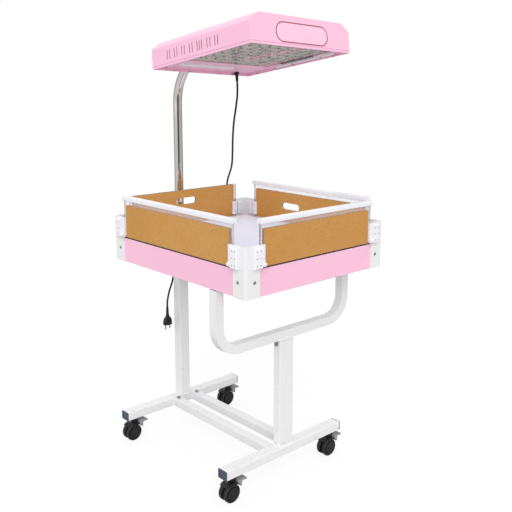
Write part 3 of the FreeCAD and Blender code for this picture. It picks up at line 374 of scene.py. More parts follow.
@surface
def tyreRubber(board):
    # caster tread: dark polyurethane, dusty, with floor marks
    base = shade(22, 22, 24)
    dust = board.patch(45, 6, 0.50, 0.76)
    marks = board.patch(22, 5, 0.58, 0.68, (1, 1, 0.3))
    floorward = board.window(board.height(), 0.0, 0.03, 1, 0)
    tint = board.blend(dust * 0.22, base, shade(92, 90, 88))
    tint = board.blend(marks * floorward * 0.6, tint, shade(132, 126, 118))
    close(board, tint, 0.48 + dust * 0.25, board.bump(board.noise(260, 3), 0.2, 0.0003))


@surface
def softGlow(board, colour):
    # milky diffuser strip
    cloud = board.patch(24, 4, 0.35, 0.7)
    ribs = board.noise(300, 1, (1, 0.05, 1))
    tint = board.blend(cloud * 0.5, colour, darker(colour, 0.08))
    close(board, tint, 0.34 + cloud * 0.1, board.bump(ribs, 0.12, 0.0003))


finishes = {
    "stand_white": powderCoat("standCoat", shade(237, 237, 238), 0.38, 0.35),
    "pink_paint": powderCoat("pinkCoat", shade(252, 196, 221), 0.42, 0.0),
    "end_cap_blue": mouldedPlastic("capBlue", shade(66, 77, 96), 0.45, 500),
    "black_plastic": mouldedPlastic("blackMoulding", shade(19, 19, 21), 0.42, 520, 0.12),
    "white_plastic": mouldedPlastic("whiteMoulding", shade(242, 242, 248), 0.32, 420, 0.1),
    "brake_grey": mouldedPlastic("pedalGrey", shade(150, 151, 155), 0.45, 460),
    "zinc_steel": drawnMetal("zincPlate", shade(168, 162, 150), 0.30, "z"),
    "steel_tube": drawnMetal("polishedTube", shade(240, 236, 231), 0.07, "z", 0.3),
    "aluminium_box": drawnMetal("brushedCase", shade(188, 190, 194), 0.34, "y"),
    "reflector": polishedReflector("reflectorSheet"),
    "clear_acrylic": clearSheet("clearPanel", shade(240, 240, 250), 0.10, 0.45, "Y"),
    "lens_clear": clearSheet("lensMoulding", shade(236, 240, 244), 0.30, 0.45),
    "kraft_paper": kraftPaper("kraftMasking"),
    "mattress_cover": wipeableCover("mattressCover"),
    "deck_board": laminateBoard("deckLaminate"),
    "board_green": circuitBoard("ledBoard"),
    "cord_black": cordSheath("leadSheath"),
    "caster_tread": tyreRubber("casterTread"),
}
sideSheet = clearSheet("clearPanelSide", shade(240, 240, 250), 0.10, 0.45, "X")
special = {"light_strips": softGlow("stripDiffuser", shade(246, 248, 251)),
           "panel_left": sideSheet, "panel_right": sideSheet}

for part in frame["record"]["subparts"]:
    skin = nodes[part["node"]].data.materials
    skin.clear()
    skin.append(special.get(part["node"]) or finishes[part["material_slot"]])
print("finishes on", len(nodes), "parts")


# small helpers for the added pieces

def linked(name, points, edges=(), faces=()):
    data = bpy.data.meshes.new(name)
    data.from_pydata([tuple(point) for point in points], list(edges), list(faces))
    return placed(name, data)


def dress(item, body, slot, finish=None, smooth=False):
    item.data.materials.clear()
    item.data.materials.append(finish or finishes[slot])
    for face in item.data.polygons:
        face.use_smooth = smooth
    if body:
        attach(item, body)
    return item


def meshItem(name, points, faces, body, slot, finish=None, smooth=False):
    item = linked(name, points, faces=faces)
    item.data.validate()
    return dress(item, body, slot, finish, smooth)


def tidyNormals(data):
    shell = bmesh.new()
    shell.from_mesh(data)
    bmesh.ops.remove_doubles(shell, verts=shell.verts, dist=1e-6)
    bmesh.ops.recalc_face_normals(shell, faces=shell.faces)
    shell.to_mesh(data)
    shell.free()


def roundEdges(item, width, segments):
    bevel = item.modifiers.new("roundEdges", "BEVEL")
    bevel.width, bevel.segments = width, segments


def looseBoxes(node):
    # lowest and highest corners of each solid in one CAD node
    shell = bmesh.new()
    shell.from_mesh(nodes[node].data)
    bmesh.ops.remove_doubles(shell, verts=shell.verts, dist=1e-6)
    seen, boxes = set(), []
    for first in shell.verts:
        if first in seen:
            continue
        seen.add(first)
        waiting, points = [first], []
        while waiting:
            point = waiting.pop()
            points.append(point.co.copy())
            for edge in point.link_edges:
                other = edge.other_vert(point)
                if other not in seen:
                    seen.add(other)
                    waiting.append(other)
        boxes.append((Vector([min(p[i] for p in points) for i in range(3)]),
                      Vector([max(p[i] for p in points) for i in range(3)])))
    shell.free()
    return boxes


def ringEdges(start, count):
    return [(start + i, start + (i + 1) % count) for i in range(count)]


def stackFaces(count, rings, joined=False):
    # bands of faces between stacked loops, the last joined to the first or else both closed off
    faces = []
    for ring in range(rings if joined else rings - 1):
        low, high = ring * count, (ring + 1) % rings * count
        faces += [(low + i, low + (i + 1) % count, high + (i + 1) % count, high + i) for i in range(count)]
    if not joined:
        faces += [tuple(reversed(range(count))), tuple(range((rings - 1) * count, rings * count))]
    return faces


boxFaces = ((0, 3, 2, 1), (4, 5, 6, 7), (0, 1, 5, 4), (1, 2, 6, 5), (2, 3, 7, 6), (3, 0, 4, 7))


def boxItem(name, boxes, body, slot, finish=None, place=None):
    # separate boxes in one mesh, each given by its lowest and highest corner
    points, faces = [], []
    for low, high in boxes:
        faces += [tuple(len(points) + i for i in face) for face in boxFaces]
        points += [(x, y, z) for z in (low[2], high[2])
                   for x, y in ((low[0], low[1]), (high[0], low[1]), (high[0], high[1]), (low[0], high[1]))]
    if place:
        points = [place(*point) for point in points]
    return meshItem(name, points, faces, body, slot, finish)


def lathe(outline, sides, centre=Vector((0, 0, 0)), flat=1):
    # closed shape turned about an upright line, with the outline's first and last points on that line
    points, faces, rings = [], [], []
    for radius, height in outline:
        count = sides if radius else 1
        rings.append(range(len(points), len(points) + count))
        for i in range(count):
            angle = 2 * pi * i / count
            points.append(centre + Vector((radius * cos(angle), radius * flat * sin(angle), height)))
    for low, high in zip(rings, rings[1:]):
        for i in range(sides):
            j = (i + 1) % sides
            loop = [low[i % len(low)], low[j % len(low)], high[j % len(high)], high[i % len(high)]]
            faces.append(tuple(dict.fromkeys(loop)))
    return points, faces


lampFrame = {
    "origin": (-0.00264, 0.17598, 1.31088),     # rear bottom edge, middle
    "pitch": 8.3,
    "roll": 2.8,
}
lampMatrix = (Matrix.Translation(lampFrame["origin"])
              @ Matrix.Rotation(-radians(lampFrame["pitch"]), 4, "X")
              @ Matrix.Rotation(radians(lampFrame["roll"]), 4, "Y"))
lampDown = lampMatrix.to_3x3() @ Vector((0, 0, -1))


def onLamp(*point):
    # millimetres in the lamp's own frame to metres in the scene
    return lampMatrix @ (Vector(point) / 1000)


# repeated pieces, by Geometry Nodes

def newGeometryTree(name, inputs):
    tree = bpy.data.node_groups.new(name, "GeometryNodeTree")
    face = tree.interface
    face.new_socket(name="Geometry", in_out="INPUT", socket_type="NodeSocketGeometry")
    for label, kind in inputs:
        face.new_socket(name=label, in_out="INPUT", socket_type="NodeSocket" + kind)
    face.new_socket(name="Geometry", in_out="OUTPUT", socket_type="NodeSocketGeometry")
    board = Board(tree)
    source = tree.nodes.new("NodeGroupInput")
    return tree, board, {socket.name: Wire(board, socket) for socket in source.outputs if socket.name}


def finishTree(board, geometry, material):
    solid = board.add("GeometryNodeRealizeInstances", {}, {0: geometry})
    painted = board.add("GeometryNodeSetMaterial", {}, {"Geometry": solid, "Material": material})
    board.add("NodeGroupOutput", {}, {0: painted})


def studsTree():
    # one small moulded or turned head on every point, facing the way the point says
    tree, board, given = newGeometryTree("studsTree", [("Head", "Object"), ("Size", "Float"),
                                                       ("Finish", "Material")])
    facing = board.add("GeometryNodeInputNamedAttribute", {"data_type": "FLOAT_VECTOR"}, {"Name": "facing"})
    spin = board.add("GeometryNodeInputNamedAttribute", {"data_type": "FLOAT"}, {"Name": "spin"})
    turn = board.add("FunctionNodeAlignRotationToVector", {"axis": "Z"}, {"Vector": facing})
    twist = board.add("FunctionNodeAxisAngleToRotation", {}, {"Axis": (0, 0, 1), "Angle": spin})
    turn = board.add("FunctionNodeRotateRotation", {"rotation_space": "LOCAL"}, {0: turn, 1: twist})
    head = board.add("GeometryNodeObjectInfo", {"transform_space": "ORIGINAL"}, {"Object": given["Head"]},
                     out="Geometry")
    spread = board.add("GeometryNodeInstanceOnPoints", {},
                       {"Points": given["Geometry"], "Instance": head, "Rotation": turn, "Scale": given["Size"]})
    finishTree(board, spread, given["Finish"])
    return tree


def grown(name, holder, tree, values, body, slot, finish=None):
    # runs a tree on the holder and keeps the result as a plain mesh
    values = dict(values, Finish=finish or finishes[slot])
    modifier = holder.modifiers.new(tree.name, "NODES")
    modifier.node_group = tree
    for socket in tree.interface.items_tree:
        if socket.in_out == "INPUT" and socket.name in values:
            modifier[socket.identifier] = values[socket.name]
    holder.update_tag()
    bpy.context.view_layer.update()
    seen = holder.evaluated_get(bpy.context.evaluated_depsgraph_get())
    data = bpy.data.meshes.new_from_object(seen)
    holder.modifiers.clear()
    bpy.data.objects.remove(holder)
    data.name = name
    return dress(placed(name, data), body, slot, finish)


def studded(name, spots, head, size, body, slot, finish=None):
    # spots: (place in metres, facing, spin in radians)
    holder = linked(name + "Spots", [place for place, _, _ in spots])
    fields = holder.data.attributes
    fields.new("facing", "FLOAT_VECTOR", "POINT")
    fields.new("spin", "FLOAT", "POINT")
    fields["facing"].data.foreach_set("vector", [part for _, way, _ in spots for part in way])
    fields["spin"].data.foreach_set("value", [angle for _, _, angle in spots])
    return grown(name, holder, studs, {"Head": head, "Size": size}, body, slot, finish)


recess = {"reach": 0.6, "middle": 0.02, "arm": 0.9, "deep": 0.28}     # cross in a head of radius 1


def headPattern(name, outline, sides, cross=False):
    # a head turned from an outline of (radius, height), unit sized, with a cross recess if asked
    points, faces = lathe(outline, sides)
    for point in points if cross else ():
        reach = point.xy.length
        onArm = reach < recess["middle"] or abs(cos(2 * atan2(point.y, point.x))) > recess["arm"]
        if reach < recess["reach"] and point.z > 0 and onArm:
            point.z -= recess["deep"]
    item = linked(name, points, faces=faces)
    tidyNormals(item.data)
    return item


studs = studsTree()
panHead = headPattern("panHeadPattern", [(0, -0.25), (1, -0.25), (1, 0.08), (0.93, 0.3), (0.72, 0.46),
                                         (0.55, 0.52), (0.34, 0.55), (0.14, 0.56), (0, 0.56)], 16, True)
print("patterns ready")


# cord

lead = {
    "width": 0.007,
    "sides": 12,
    "bendsFrom": (0.130, 0.150, 1.246),
    "bendsTo": (0.206, 0.303, 0.930),
}
leadRoute = [     # metres, from the gland under the lamp to the plug
    (0.13216, 0.15612, 1.28556), (0.1302, 0.1504, 1.246), (0.122, 0.152, 1.190), (0.122, 0.163, 1.1455),
    (0.131, 0.180, 1.092), (0.150, 0.204, 1.036), (0.173, 0.234, 0.9805), (0.190, 0.270, 0.944),
    (0.206, 0.303, 0.912), (0.218, 0.322, 0.866), (0.221, 0.327, 0.806), (0.215, 0.332, 0.744),
    (0.196, 0.338, 0.694), (0.158, 0.346, 0.672), (0.109, 0.353, 0.666), (0.062, 0.357, 0.667),
    (0.024, 0.35875, 0.656), (-0.0095, 0.35875, 0.627), (-0.010, 0.35875, 0.584), (-0.019, 0.3555, 0.549),
    (-0.036, 0.351, 0.521), (-0.048, 0.346, 0.496), (-0.054, 0.343, 0.476), (-0.054, 0.343, 0.459),
]
plugShape = {
    "sides": 32,
    # radius and height from the end of the lead, metres
    "outline": [(0, 0.001), (0.0046, 0.001), (0.0050, -0.002), (0.0056, -0.018), (0.0066, -0.030),
                (0.0090, -0.037), (0.0140, -0.042), (0.0172, -0.049), (0.0184, -0.058), (0.0184, -0.064),
                (0.0178, -0.0665), (0.0150, -0.0670), (0, -0.0670)],
    "flat": 0.72,              # how thick it is for its width
    "grooves": 4, "grooveFrom": -0.006, "grooveStep": 0.0062,
    "groove": (0.0011, 0.0007, 0.0008),      # half width at the top and at the bottom, depth
    "pinSides": 16, "pinApart": 0.019, "pinRadius": 0.0023, "pinLength": 0.018, "pinRoot": 0.001, "pinTip": 0.6,
}


def routeLine(name, points):
    curve = bpy.data.curves.new(name, "CURVE")
    curve.dimensions = "3D"
    curve.resolution_u = 12
    spline = curve.splines.new("NURBS")
    spline.points.add(len(points) - 1)
    for target, place in zip(spline.points, points):
        target.co = (*place, 1)
    spline.order_u = 3
    spline.use_endpoint_u = True
    item = placed(name, curve)
    bpy.context.view_layer.update()
    read = bpy.data.meshes.new_from_object(item.evaluated_get(bpy.context.evaluated_depsgraph_get()))
    line = [vertex.co.copy() for vertex in read.vertices]
    bpy.data.objects.remove(item)
    return line


def tube(name, line, radius, sides, body, slot):
    points, across = [], Vector((1, 0, 0))
    last = len(line) - 1
    for index, place in enumerate(line):
        ahead = (line[min(index + 1, last)] - line[max(index - 1, 0)]).normalized()
        across = (across - ahead * across.dot(ahead)).normalized()
        other = ahead.cross(across)
        for step in range(sides):
            angle = 2 * pi * step / sides
            points.append(place + (across * cos(angle) + other * sin(angle)) * radius)
    return meshItem(name, points, stackFaces(sides, len(line)), body, slot, smooth=True)


def makeLead():
    line = routeLine("leadRoute", leadRoute)
    item = tube("lead", line, lead["width"] / 2, lead["sides"], None, "cord_black")
    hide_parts("cord")
    makePlug(Vector(leadRoute[-1]))
    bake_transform(item, "lamp", "stand", start=lead["bendsFrom"], end=lead["bendsTo"])


def turnedItem(name, outline, sides, centre, flat, slot):
    item = meshItem(name, *lathe(outline, sides, centre, flat), "stand", slot, smooth=True)
    tidyNormals(item.data)
    return item


def makePlug(end):
    # two-pin moulded plug with a grooved relief
    outline, grooved = plugShape["outline"], []
    wide, narrow, deep = plugShape["groove"]
    for (r0, z0), (r1, z1) in zip(outline, outline[1:]):
        grooved.append((r0, z0))
        for step in range(plugShape["grooves"]):
            at = plugShape["grooveFrom"] - step * plugShape["grooveStep"]
            if z1 < at < z0 and r0 > 0:
                radius = r0 + (r1 - r0) * (z0 - at) / (z0 - z1)
                grooved += [(radius, at + wide), (radius - deep, at + narrow), (radius - deep, at - narrow),
                            (radius, at - wide)]
    grooved.append(outline[-1])
    body = turnedItem("plugBody", grooved, plugShape["sides"], end, plugShape["flat"], "black_plastic")
    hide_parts("plug")
    top = outline[-1][1]
    radius, tip, root = plugShape["pinRadius"], top - plugShape["pinLength"], plugShape["pinRoot"]
    pin = [(0, top + root), (radius, top + root), (radius, tip + root), (radius * plugShape["pinTip"], tip), (0, tip)]
    apart = Vector((plugShape["pinApart"] / 2, 0, 0))
    return [body] + [turnedItem("plugPin" + side, pin, plugShape["pinSides"], end + apart * way, 1, "zinc_steel")
                     for side, way in (("A", -1), ("B", 1))]


makeLead()


# mattress

pad = {
    "inset": 0.004,
    "corner": 0.026, "leastCorner": 0.006,
    "cornerSteps": 6,
    "edge": 0.011, "edgeCurve": (0.3, 0.35),
    "topGap": 0.002,
    "voxel": 0.006,
    "pressure": 4,
    "swell": 0.004,
    "swellFrames": 20,
    "pipingWidth": 0.0045,
    "pipingAt": 0.75,          # of the edge, in from the top and the bottom
    "pipingSteps": 8,
}


def roundedLoop(low, high, corner, steps, height):
    points = []
    centres = [(high.x - corner, high.y - corner, 0), (low.x + corner, high.y - corner, 90),
               (low.x + corner, low.y + corner, 180), (high.x - corner, low.y + corner, 270)]
    for x, y, start in centres:
        for step in range(steps + 1):
            angle = radians(start + 90 * step / steps)
            points.append(Vector((x + corner * cos(angle), y + corner * sin(angle), height)))
    return points


def makeMattress():
    inset = Vector((pad["inset"], pad["inset"], 0))
    low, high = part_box("mattress")
    low, high = Vector(low) + inset, Vector(high) - inset
    edge, tall = pad["edge"], high.z - low.z
    lift, back = (edge * share for share in pad["edgeCurve"])
    levels = ((0, edge), (lift, back), (edge, 0), (tall - edge, 0), (tall - lift, back), (tall - pad["topGap"], edge))
    points = []
    for rise, shrink in levels:
        inward = Vector((shrink, shrink, 0))
        points += roundedLoop(low + inward, high - inward, max(pad["corner"] - shrink, pad["leastCorner"]),
                              pad["cornerSteps"], low.z + rise)
    item = linked("mattressPad", points, faces=stackFaces(len(points) // len(levels), len(levels)))
    bpy.context.view_layer.objects.active = item
    item.select_set(True)
    remesh = item.modifiers.new("remesh", "REMESH")
    remesh.mode = "VOXEL"
    remesh.voxel_size = pad["voxel"] * 1
    bpy.ops.object.modifier_apply(modifier=remesh.name)
    swellPad(item, low.z)
    smooth = item.modifiers.new("finer", "SUBSURF")
    smooth.levels = smooth.render_levels = 1
    bpy.ops.object.modifier_apply(modifier=smooth.name)
    dress(item, "stand", "mattress_cover", smooth=True)
    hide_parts("mattress")
    print("mattress,", len(item.data.polygons), "faces")
    return low, high


def swellPad(item, floorLevel):
    # blows the cover up a little, as cloth under pressure
    rest = [vertex.co.copy() for vertex in item.data.vertices]
    cloth = item.modifiers.new("swell", "CLOTH")
    cloth.settings.use_pressure = True
    cloth.settings.uniform_pressure_force = pad["pressure"]
    cloth.settings.effector_weights.gravity = 0
    cloth.settings.quality = 4
    cloth.collision_settings.use_collision = False
    for frameNumber in range(1, pad["swellFrames"] + 1):
        sceneNow.frame_set(frameNumber)
    bpy.ops.object.modifier_apply(modifier=cloth.name)
    for vertex, old in zip(item.data.vertices, rest):
        move = vertex.co - old
        if move.length > pad["swell"]:
            move *= pad["swell"] / move.length
        vertex.co = old + move
        vertex.co.z = max(vertex.co.z, floorLevel)
    sceneNow.frame_set(1)


def makePiping(low, high):
    # welt sewn round the top and bottom edges of the cover
    tree, board, given = newGeometryTree("pipingTree", [("Width", "Float"), ("Finish", "Material")])
    line = board.add("GeometryNodeMeshToCurve", {}, {0: given["Geometry"]})
    ring = board.add("GeometryNodeCurvePrimitiveCircle", {}, {"Resolution": 8, "Radius": given["Width"] * 0.5})
    welt = board.add("GeometryNodeCurveToMesh", {}, {"Curve": line, "Profile Curve": ring, "Fill Caps": True})
    finishTree(board, welt, given["Finish"])
    points, edges = [], []
    inward = pad["edge"] * pad["pipingAt"]
    for height in (low.z + inward, high.z - inward):
        loop = roundedLoop(low, high, pad["corner"], pad["pipingSteps"], height)
        edges += ringEdges(len(points), len(loop))
        points += loop
    grown("mattressPiping", linked("pipingLoops", points, edges), tree, {"Width": pad["pipingWidth"]},
          "stand", "mattress_cover")


makePiping(*makeMattress())


# label place on the lamp's front, left bare

labelPlace = {
    "centreX": 0, "centreZ": 40.5,       # millimetres on the lamp's front face
    "halfLength": 107, "radius": 29.5,
    "lineWidth": 3.2, "lift": 0.35,
    "front": -478,
    "endSteps": 24,
}


def stadium(radius, lift):
    points = []
    reach = labelPlace["halfLength"] - labelPlace["radius"]
    for side, start in ((1, -90), (-1, 90)):
        for step in range(labelPlace["endSteps"] + 1):
            angle = radians(start + 180 * step / labelPlace["endSteps"])
            points.append(onLamp(labelPlace["centreX"] + side * reach + radius * cos(angle),
                                 labelPlace["front"] - lift, labelPlace["centreZ"] + radius * sin(angle)))
    return points


def makeLabelPlace():
    red, board = newFinish("outlineRed")
    patch = board.patch(60, 4, 0.4, 0.7)
    close(board, board.blend(patch * 0.5, shade(168, 74, 98), shade(146, 58, 80)), 0.4 + patch * 0.1,
          board.bump(board.noise(300, 2), 0.1, 0.0002))
    field, board = newFinish("fieldPink")
    patch = board.patch(30, 4, 0.35, 0.7)
    close(board, board.blend(patch * 0.6, shade(252, 203, 226), shade(250, 197, 222)), 0.36 + patch * 0.08,
          board.bump(board.noise(350, 2), 0.08, 0.0002))
    outer, lift = labelPlace["radius"], labelPlace["lift"]
    inner = outer - labelPlace["lineWidth"]
    points = stadium(outer, 0) + stadium(outer, lift) + stadium(inner, lift) + stadium(inner, 0)
    count = len(points) // 4
    tidyNormals(meshItem("labelOutline", points, stackFaces(count, 4, True), "lamp", "pink_paint", red).data)
    points = stadium(inner, 0) + stadium(inner, lift * 0.5)
    tidyNormals(meshItem("labelField", points, stackFaces(count, 2), "lamp", "pink_paint", field).data)


makeLabelPlace()
print("label place left bare")


# screws and small details; those on the lamp are in millimetres in its own frame

seam = {"halfWidth": 203.5, "length": 478, "low": 6.5, "high": 7.7, "proud": 0.15, "sunk": 0.2}
seal = {"reach": 0.0015, "depth": 0.005, "height": 0.0032, "round": 0.0006}
# dark sheets that paint the shade inside the vent slots, millimetres in the lamp's own frame
ventShade = {
    "spots": (84, 98, 122, 136, 161, 175, 200, 214, 238, 249, 260, 286, 300, 323, 336),
    "wall": 203.5, "sunk": 0.5, "deep": 2.4,
    "width": 3.1, "low": 19.6, "high": 48.4,
}
# black strip that paints the shade in the gap beside the side strip, millimetres in the lamp's frame
underGapShade = {"low": (165.6, -356, 8.45), "high": (172.8, -206, 8.95)}
leaf = {
    "low": 0.785, "high": 0.834,        # heights above the floor
    "thick": 0.008,
    "panelLong": 0.020, "postLong": 0.014,
    "toPost": 0.005, "apart": 0.0015,
    "bedded": 0.0005,                   # into the post
    "screwHeights": (0.25, 0.75),
    "round": 0.0018,
    "screw": 0.0022,
}
blockScrew = {"size": 0.0019, "columns": (-0.28, 0.22), "rows": (-0.32, 0, 0.32), "leastBlock": 0.006}
lampScrew = {
    "size": 0.0034,
    "rim": [(-192, -60), (-192, -240), (-192, -420), (192, -60), (192, -240), (192, -420),
            (-126, -10), (-62, -10), (62, -10), (126, -10), (-120, -467), (0, -467), (120, -467)],
    "rimHeight": 0.2,
    "strip": [(180, -376), (180, -250), (180, -165)],
    "stripHeight": 2.8,
}
chip = {"size": 0.0032, "height": 8.6}
screwSunk = 0.0004
goldenTurn = 2.399963


def spinFor(index):
    return (index * goldenTurn) % pi


def hingeScrews():
    middle = Vector(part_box("deck")[0]).lerp(Vector(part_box("deck")[1]), 0.5)
    spots = []
    for low, high in looseBoxes("hinge_blocks"):
        centre, size = (low + high) / 2, high - low
        if min(size) < blockScrew["leastBlock"]:
            continue
        thin = 0 if size.x < size.y else 1
        way = Vector((0, 0, 0))
        way[thin] = 1 if centre[thin] > middle[thin] else -1
        along = Vector((0, 1, 0)) if thin == 0 else Vector((1, 0, 0))
        for column in blockScrew["columns"]:
            for row in blockScrew["rows"]:
                place = centre + along * size.dot(along) * column + Vector((0, 0, size.z * row))
                place[thin] = high[thin] if way[thin] > 0 else low[thin]
                spots.append((place - way * screwSunk, way, spinFor(len(spots))))
    studded("hingeScrews", spots, panHead, blockScrew["size"], "stand", "zinc_steel")


def lampScrews():
    spots = [(onLamp(x, y, lampScrew["rimHeight"]), lampDown, spinFor(i))
             for i, (x, y) in enumerate(lampScrew["rim"])]
    spots += [(onLamp(x, y, lampScrew["stripHeight"]), lampDown, spinFor(i + 5))
              for i, (x, y) in enumerate(lampScrew["strip"])]
    studded("lampScrews", spots, panHead, lampScrew["size"], "lamp", "zinc_steel")


def ledChips():
    # one phosphor dome under each lens
    glow, board = newFinish("phosphor")
    patch = board.patch(400, 2, 0.4, 0.6)
    close(board, board.blend(patch * 0.5, shade(216, 200, 150), shade(196, 178, 124)), 0.4 + patch * 0.1,
          board.bump(patch, 0.1, 0.0002))
    dome = headPattern("domePattern", [(0, -0.1), (1, -0.1), (1, 0.15), (0.7, 0.45), (0, 0.6)], 10)
    spots = []
    for low, high in looseBoxes("led_lenses"):
        local = lampMatrix.inverted() @ ((low + high) / 2)
        spots.append((onLamp(local.x * 1000, local.y * 1000, chip["height"]), lampDown, 0))
    studded("ledChips", spots, dome, chip["size"], "lamp", "lens_clear", glow)


def housingSeam():
    # shadow line where the lamp's base tray meets the shell
    dark, board = newFinish("seamPink")
    patch = board.patch(40, 4, 0.4, 0.7)
    close(board, board.blend(patch * 0.5, shade(214, 140, 172), shade(196, 118, 152)), 0.5 + patch * 0.1)
    half, length, proud = seam["halfWidth"], seam["length"], seam["proud"]
    plan = [(-half, -length), (half, -length), (half, 0), (-half, 0)]
    points = []
    for height in (seam["low"], seam["high"]):
        points += [onLamp(x + copysign(proud, x), y + (-proud if y else proud), height) for x, y in plan]
    for height in (seam["high"], seam["low"]):
        points += [onLamp(x * 0.999, y if y else -seam["sunk"], height) for x, y in plan]
    tidyNormals(meshItem("housingSeam", points, stackFaces(4, 4, True), "lamp", "pink_paint", dark).data)


def bandSeals():
    # black rubber strips on the bands' top edges, under the sides and as long as they are
    low, high = (Vector(corner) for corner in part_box("aprons_side"))
    endLow, endHigh = (Vector(corner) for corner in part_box("aprons_end"))
    sideLow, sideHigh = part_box("panel_left")
    rearLow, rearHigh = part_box("panel_rear")
    near, far = seal["reach"], seal["reach"] + seal["depth"]
    plans = [((low.x + near, sideLow[1]), (low.x + far, sideHigh[1])),
             ((high.x - far, sideLow[1]), (high.x - near, sideHigh[1])),
             ((rearLow[0], endLow.y + near), (rearHigh[0], endLow.y + far)),
             ((rearLow[0], endHigh.y - far), (rearHigh[0], endHigh.y - near))]
    boxes = [((*first, high.z), (*last, high.z + seal["height"])) for first, last in plans]
    roundEdges(boxItem("bandSeals", boxes, "stand", "black_plastic"), seal["round"], 2)


def ventFilter():
    # dark sheets in the slots of the lamp's long side: painted shade, standing in for the shadow inside the slots
    cloth, board = newFinish("filterCloth")
    fibre = board.patch(700, 3, 0.4, 0.6)
    dust = board.patch(40, 4, 0.4, 0.7)
    tint = board.blend(fibre, shade(62, 42, 52), shade(92, 66, 78))
    close(board, board.blend(dust * 0.3, tint, shade(120, 96, 106)), 0.9 + fibre * 0.05,
          board.bump(fibre, 0.4, 0.0005))
    outer, half = -ventShade["wall"] + ventShade["sunk"], ventShade["width"] / 2
    boxes = [((outer, -spot - half, ventShade["low"]), (outer + ventShade["deep"], -spot + half, ventShade["high"]))
             for spot in ventShade["spots"]]
    boxItem("ventFilter", boxes, "lamp", "black_plastic", cloth, onLamp)


def underLampSlot():
    # black strip between the reflector and the side strip: painted shade, standing in for the shadow in the gap there
    boxItem("underLampSlot", [(underGapShade["low"], underGapShade["high"])], "lamp", "black_plastic", place=onLamp)


def hingeLeaves():
    # clamp leaves inside the sides, one on the side's end and one on the post beside it
    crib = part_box("deck")
    onPosts, screws = [], {}
    for side, body in (("left", "side_left"), ("right", "side_right"), ("front", "side_front"), ("rear", "stand")):
        low, high = (Vector(corner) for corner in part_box("mask_" + side))
        endLow, endHigh = (Vector(corner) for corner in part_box("panel_" + side))
        across = 0 if side in ("left", "right") else 1
        along = 1 - across
        inward = 1 if low[across] + high[across] < crib[0][across] + crib[1][across] else -1
        face = high[across] if inward > 0 else low[across]
        way = [0, 0, 0]
        way[across] = inward
        onSide = []
        for end, tip in ((-1, endLow[along]), (1, endHigh[along])):
            post = tip + end * (leaf["toPost"] + leaf["apart"])
            for store, rider, back, first, last in (
                    (onSide, body, face, tip - end * leaf["panelLong"], tip),
                    (onPosts, "stand", face - inward * leaf["bedded"], post, post + end * leaf["postLong"])):
                a, b = [0, 0, leaf["low"]], [0, 0, leaf["high"]]
                a[along], b[along] = sorted((first, last))
                a[across], b[across] = sorted((back, face + inward * leaf["thick"]))
                store.append((a, b))
                for height in leaf["screwHeights"]:
                    spot = Vector(((a[0] + b[0]) / 2, (a[1] + b[1]) / 2, a[2] + (b[2] - a[2]) * height))
                    spot[across] = face + inward * (leaf["thick"] - screwSunk)
                    screws.setdefault(rider, []).append((spot, way, spinFor(height * 20)))
        roundEdges(boxItem("sideLeaves_" + side, onSide, body, "white_plastic"), leaf["round"], 3)
    roundEdges(boxItem("postLeaves", onPosts, "stand", "white_plastic"), leaf["round"], 3)
    for rider, spots in screws.items():
        studded("leafScrews_" + rider, spots, panHead, leaf["screw"], rider, "zinc_steel")


hingeScrews()
hingeLeaves()
lampScrews()
ventFilter()
underLampSlot()
housingSeam()
bandSeals()
ledChips()
for pattern in [item for item in bpy.data.objects if item.name.endswith("Pattern")]:
    bpy.data.objects.remove(pattern)
print("screws and lenses fitted")


# casters: hub caps and the grip ribs on the brake pedals

casterTrim = {
    "hubRadius": 0.0205,
    "ribCount": 5,
    "ribStep": 0.0042,
    "ribFirst": 0.004,          # in from the pedal's outer tip
    "dropFrom": 0.02,           # above the pedal
    "rib": (0.0011, 0.020, 0.0011),
}


def ribsTree():
    # bars dropped onto a pedal's top, each lying along its slope
    tree, board, given = newGeometryTree("ribsTree", [("Pedal", "Object"), ("Start", "Vector"), ("Step", "Vector"),
                                                      ("Count", "Int"), ("Rib", "Vector"), ("Finish", "Material")])
    line = board.add("GeometryNodeMeshLine", {"mode": "OFFSET"},
                     {"Count": given["Count"], "Start Location": given["Start"], "Offset": given["Step"]})
    pedal = board.add("GeometryNodeObjectInfo", {"transform_space": "ORIGINAL"}, {"Object": given["Pedal"]},
                      out="Geometry")
    cast = board.add("GeometryNodeRaycast", {}, {"Target Geometry": pedal, "Ray Direction": (0, 0, -1),
                                                 "Ray Length": 0.2}, out="Hit Position")
    catch = board.add("GeometryNodeCaptureAttribute", {}, {"Geometry": line}).socket.node
    for label, source in (("spot", "Hit Position"), ("slope", "Hit Normal")):
        catch.capture_items.new("VECTOR", label)
        board.tree.links.new(cast.socket.node.outputs[source], catch.inputs[label])
    laid, spot, slope = (Wire(board, catch.outputs[label]) for label in ("Geometry", "spot", "slope"))
    dropped = board.add("GeometryNodeSetPosition", {}, {"Geometry": laid, "Position": spot})
    turn = board.add("FunctionNodeAlignRotationToVector", {"axis": "Z", "pivot_axis": "Y"}, {"Vector": slope})
    bar = board.add("GeometryNodeMeshCube", {}, {"Size": given["Rib"]})
    spread = board.add("GeometryNodeInstanceOnPoints", {}, {"Points": dropped, "Instance": bar, "Rotation": turn})
    finishTree(board, spread, given["Finish"])
    return tree


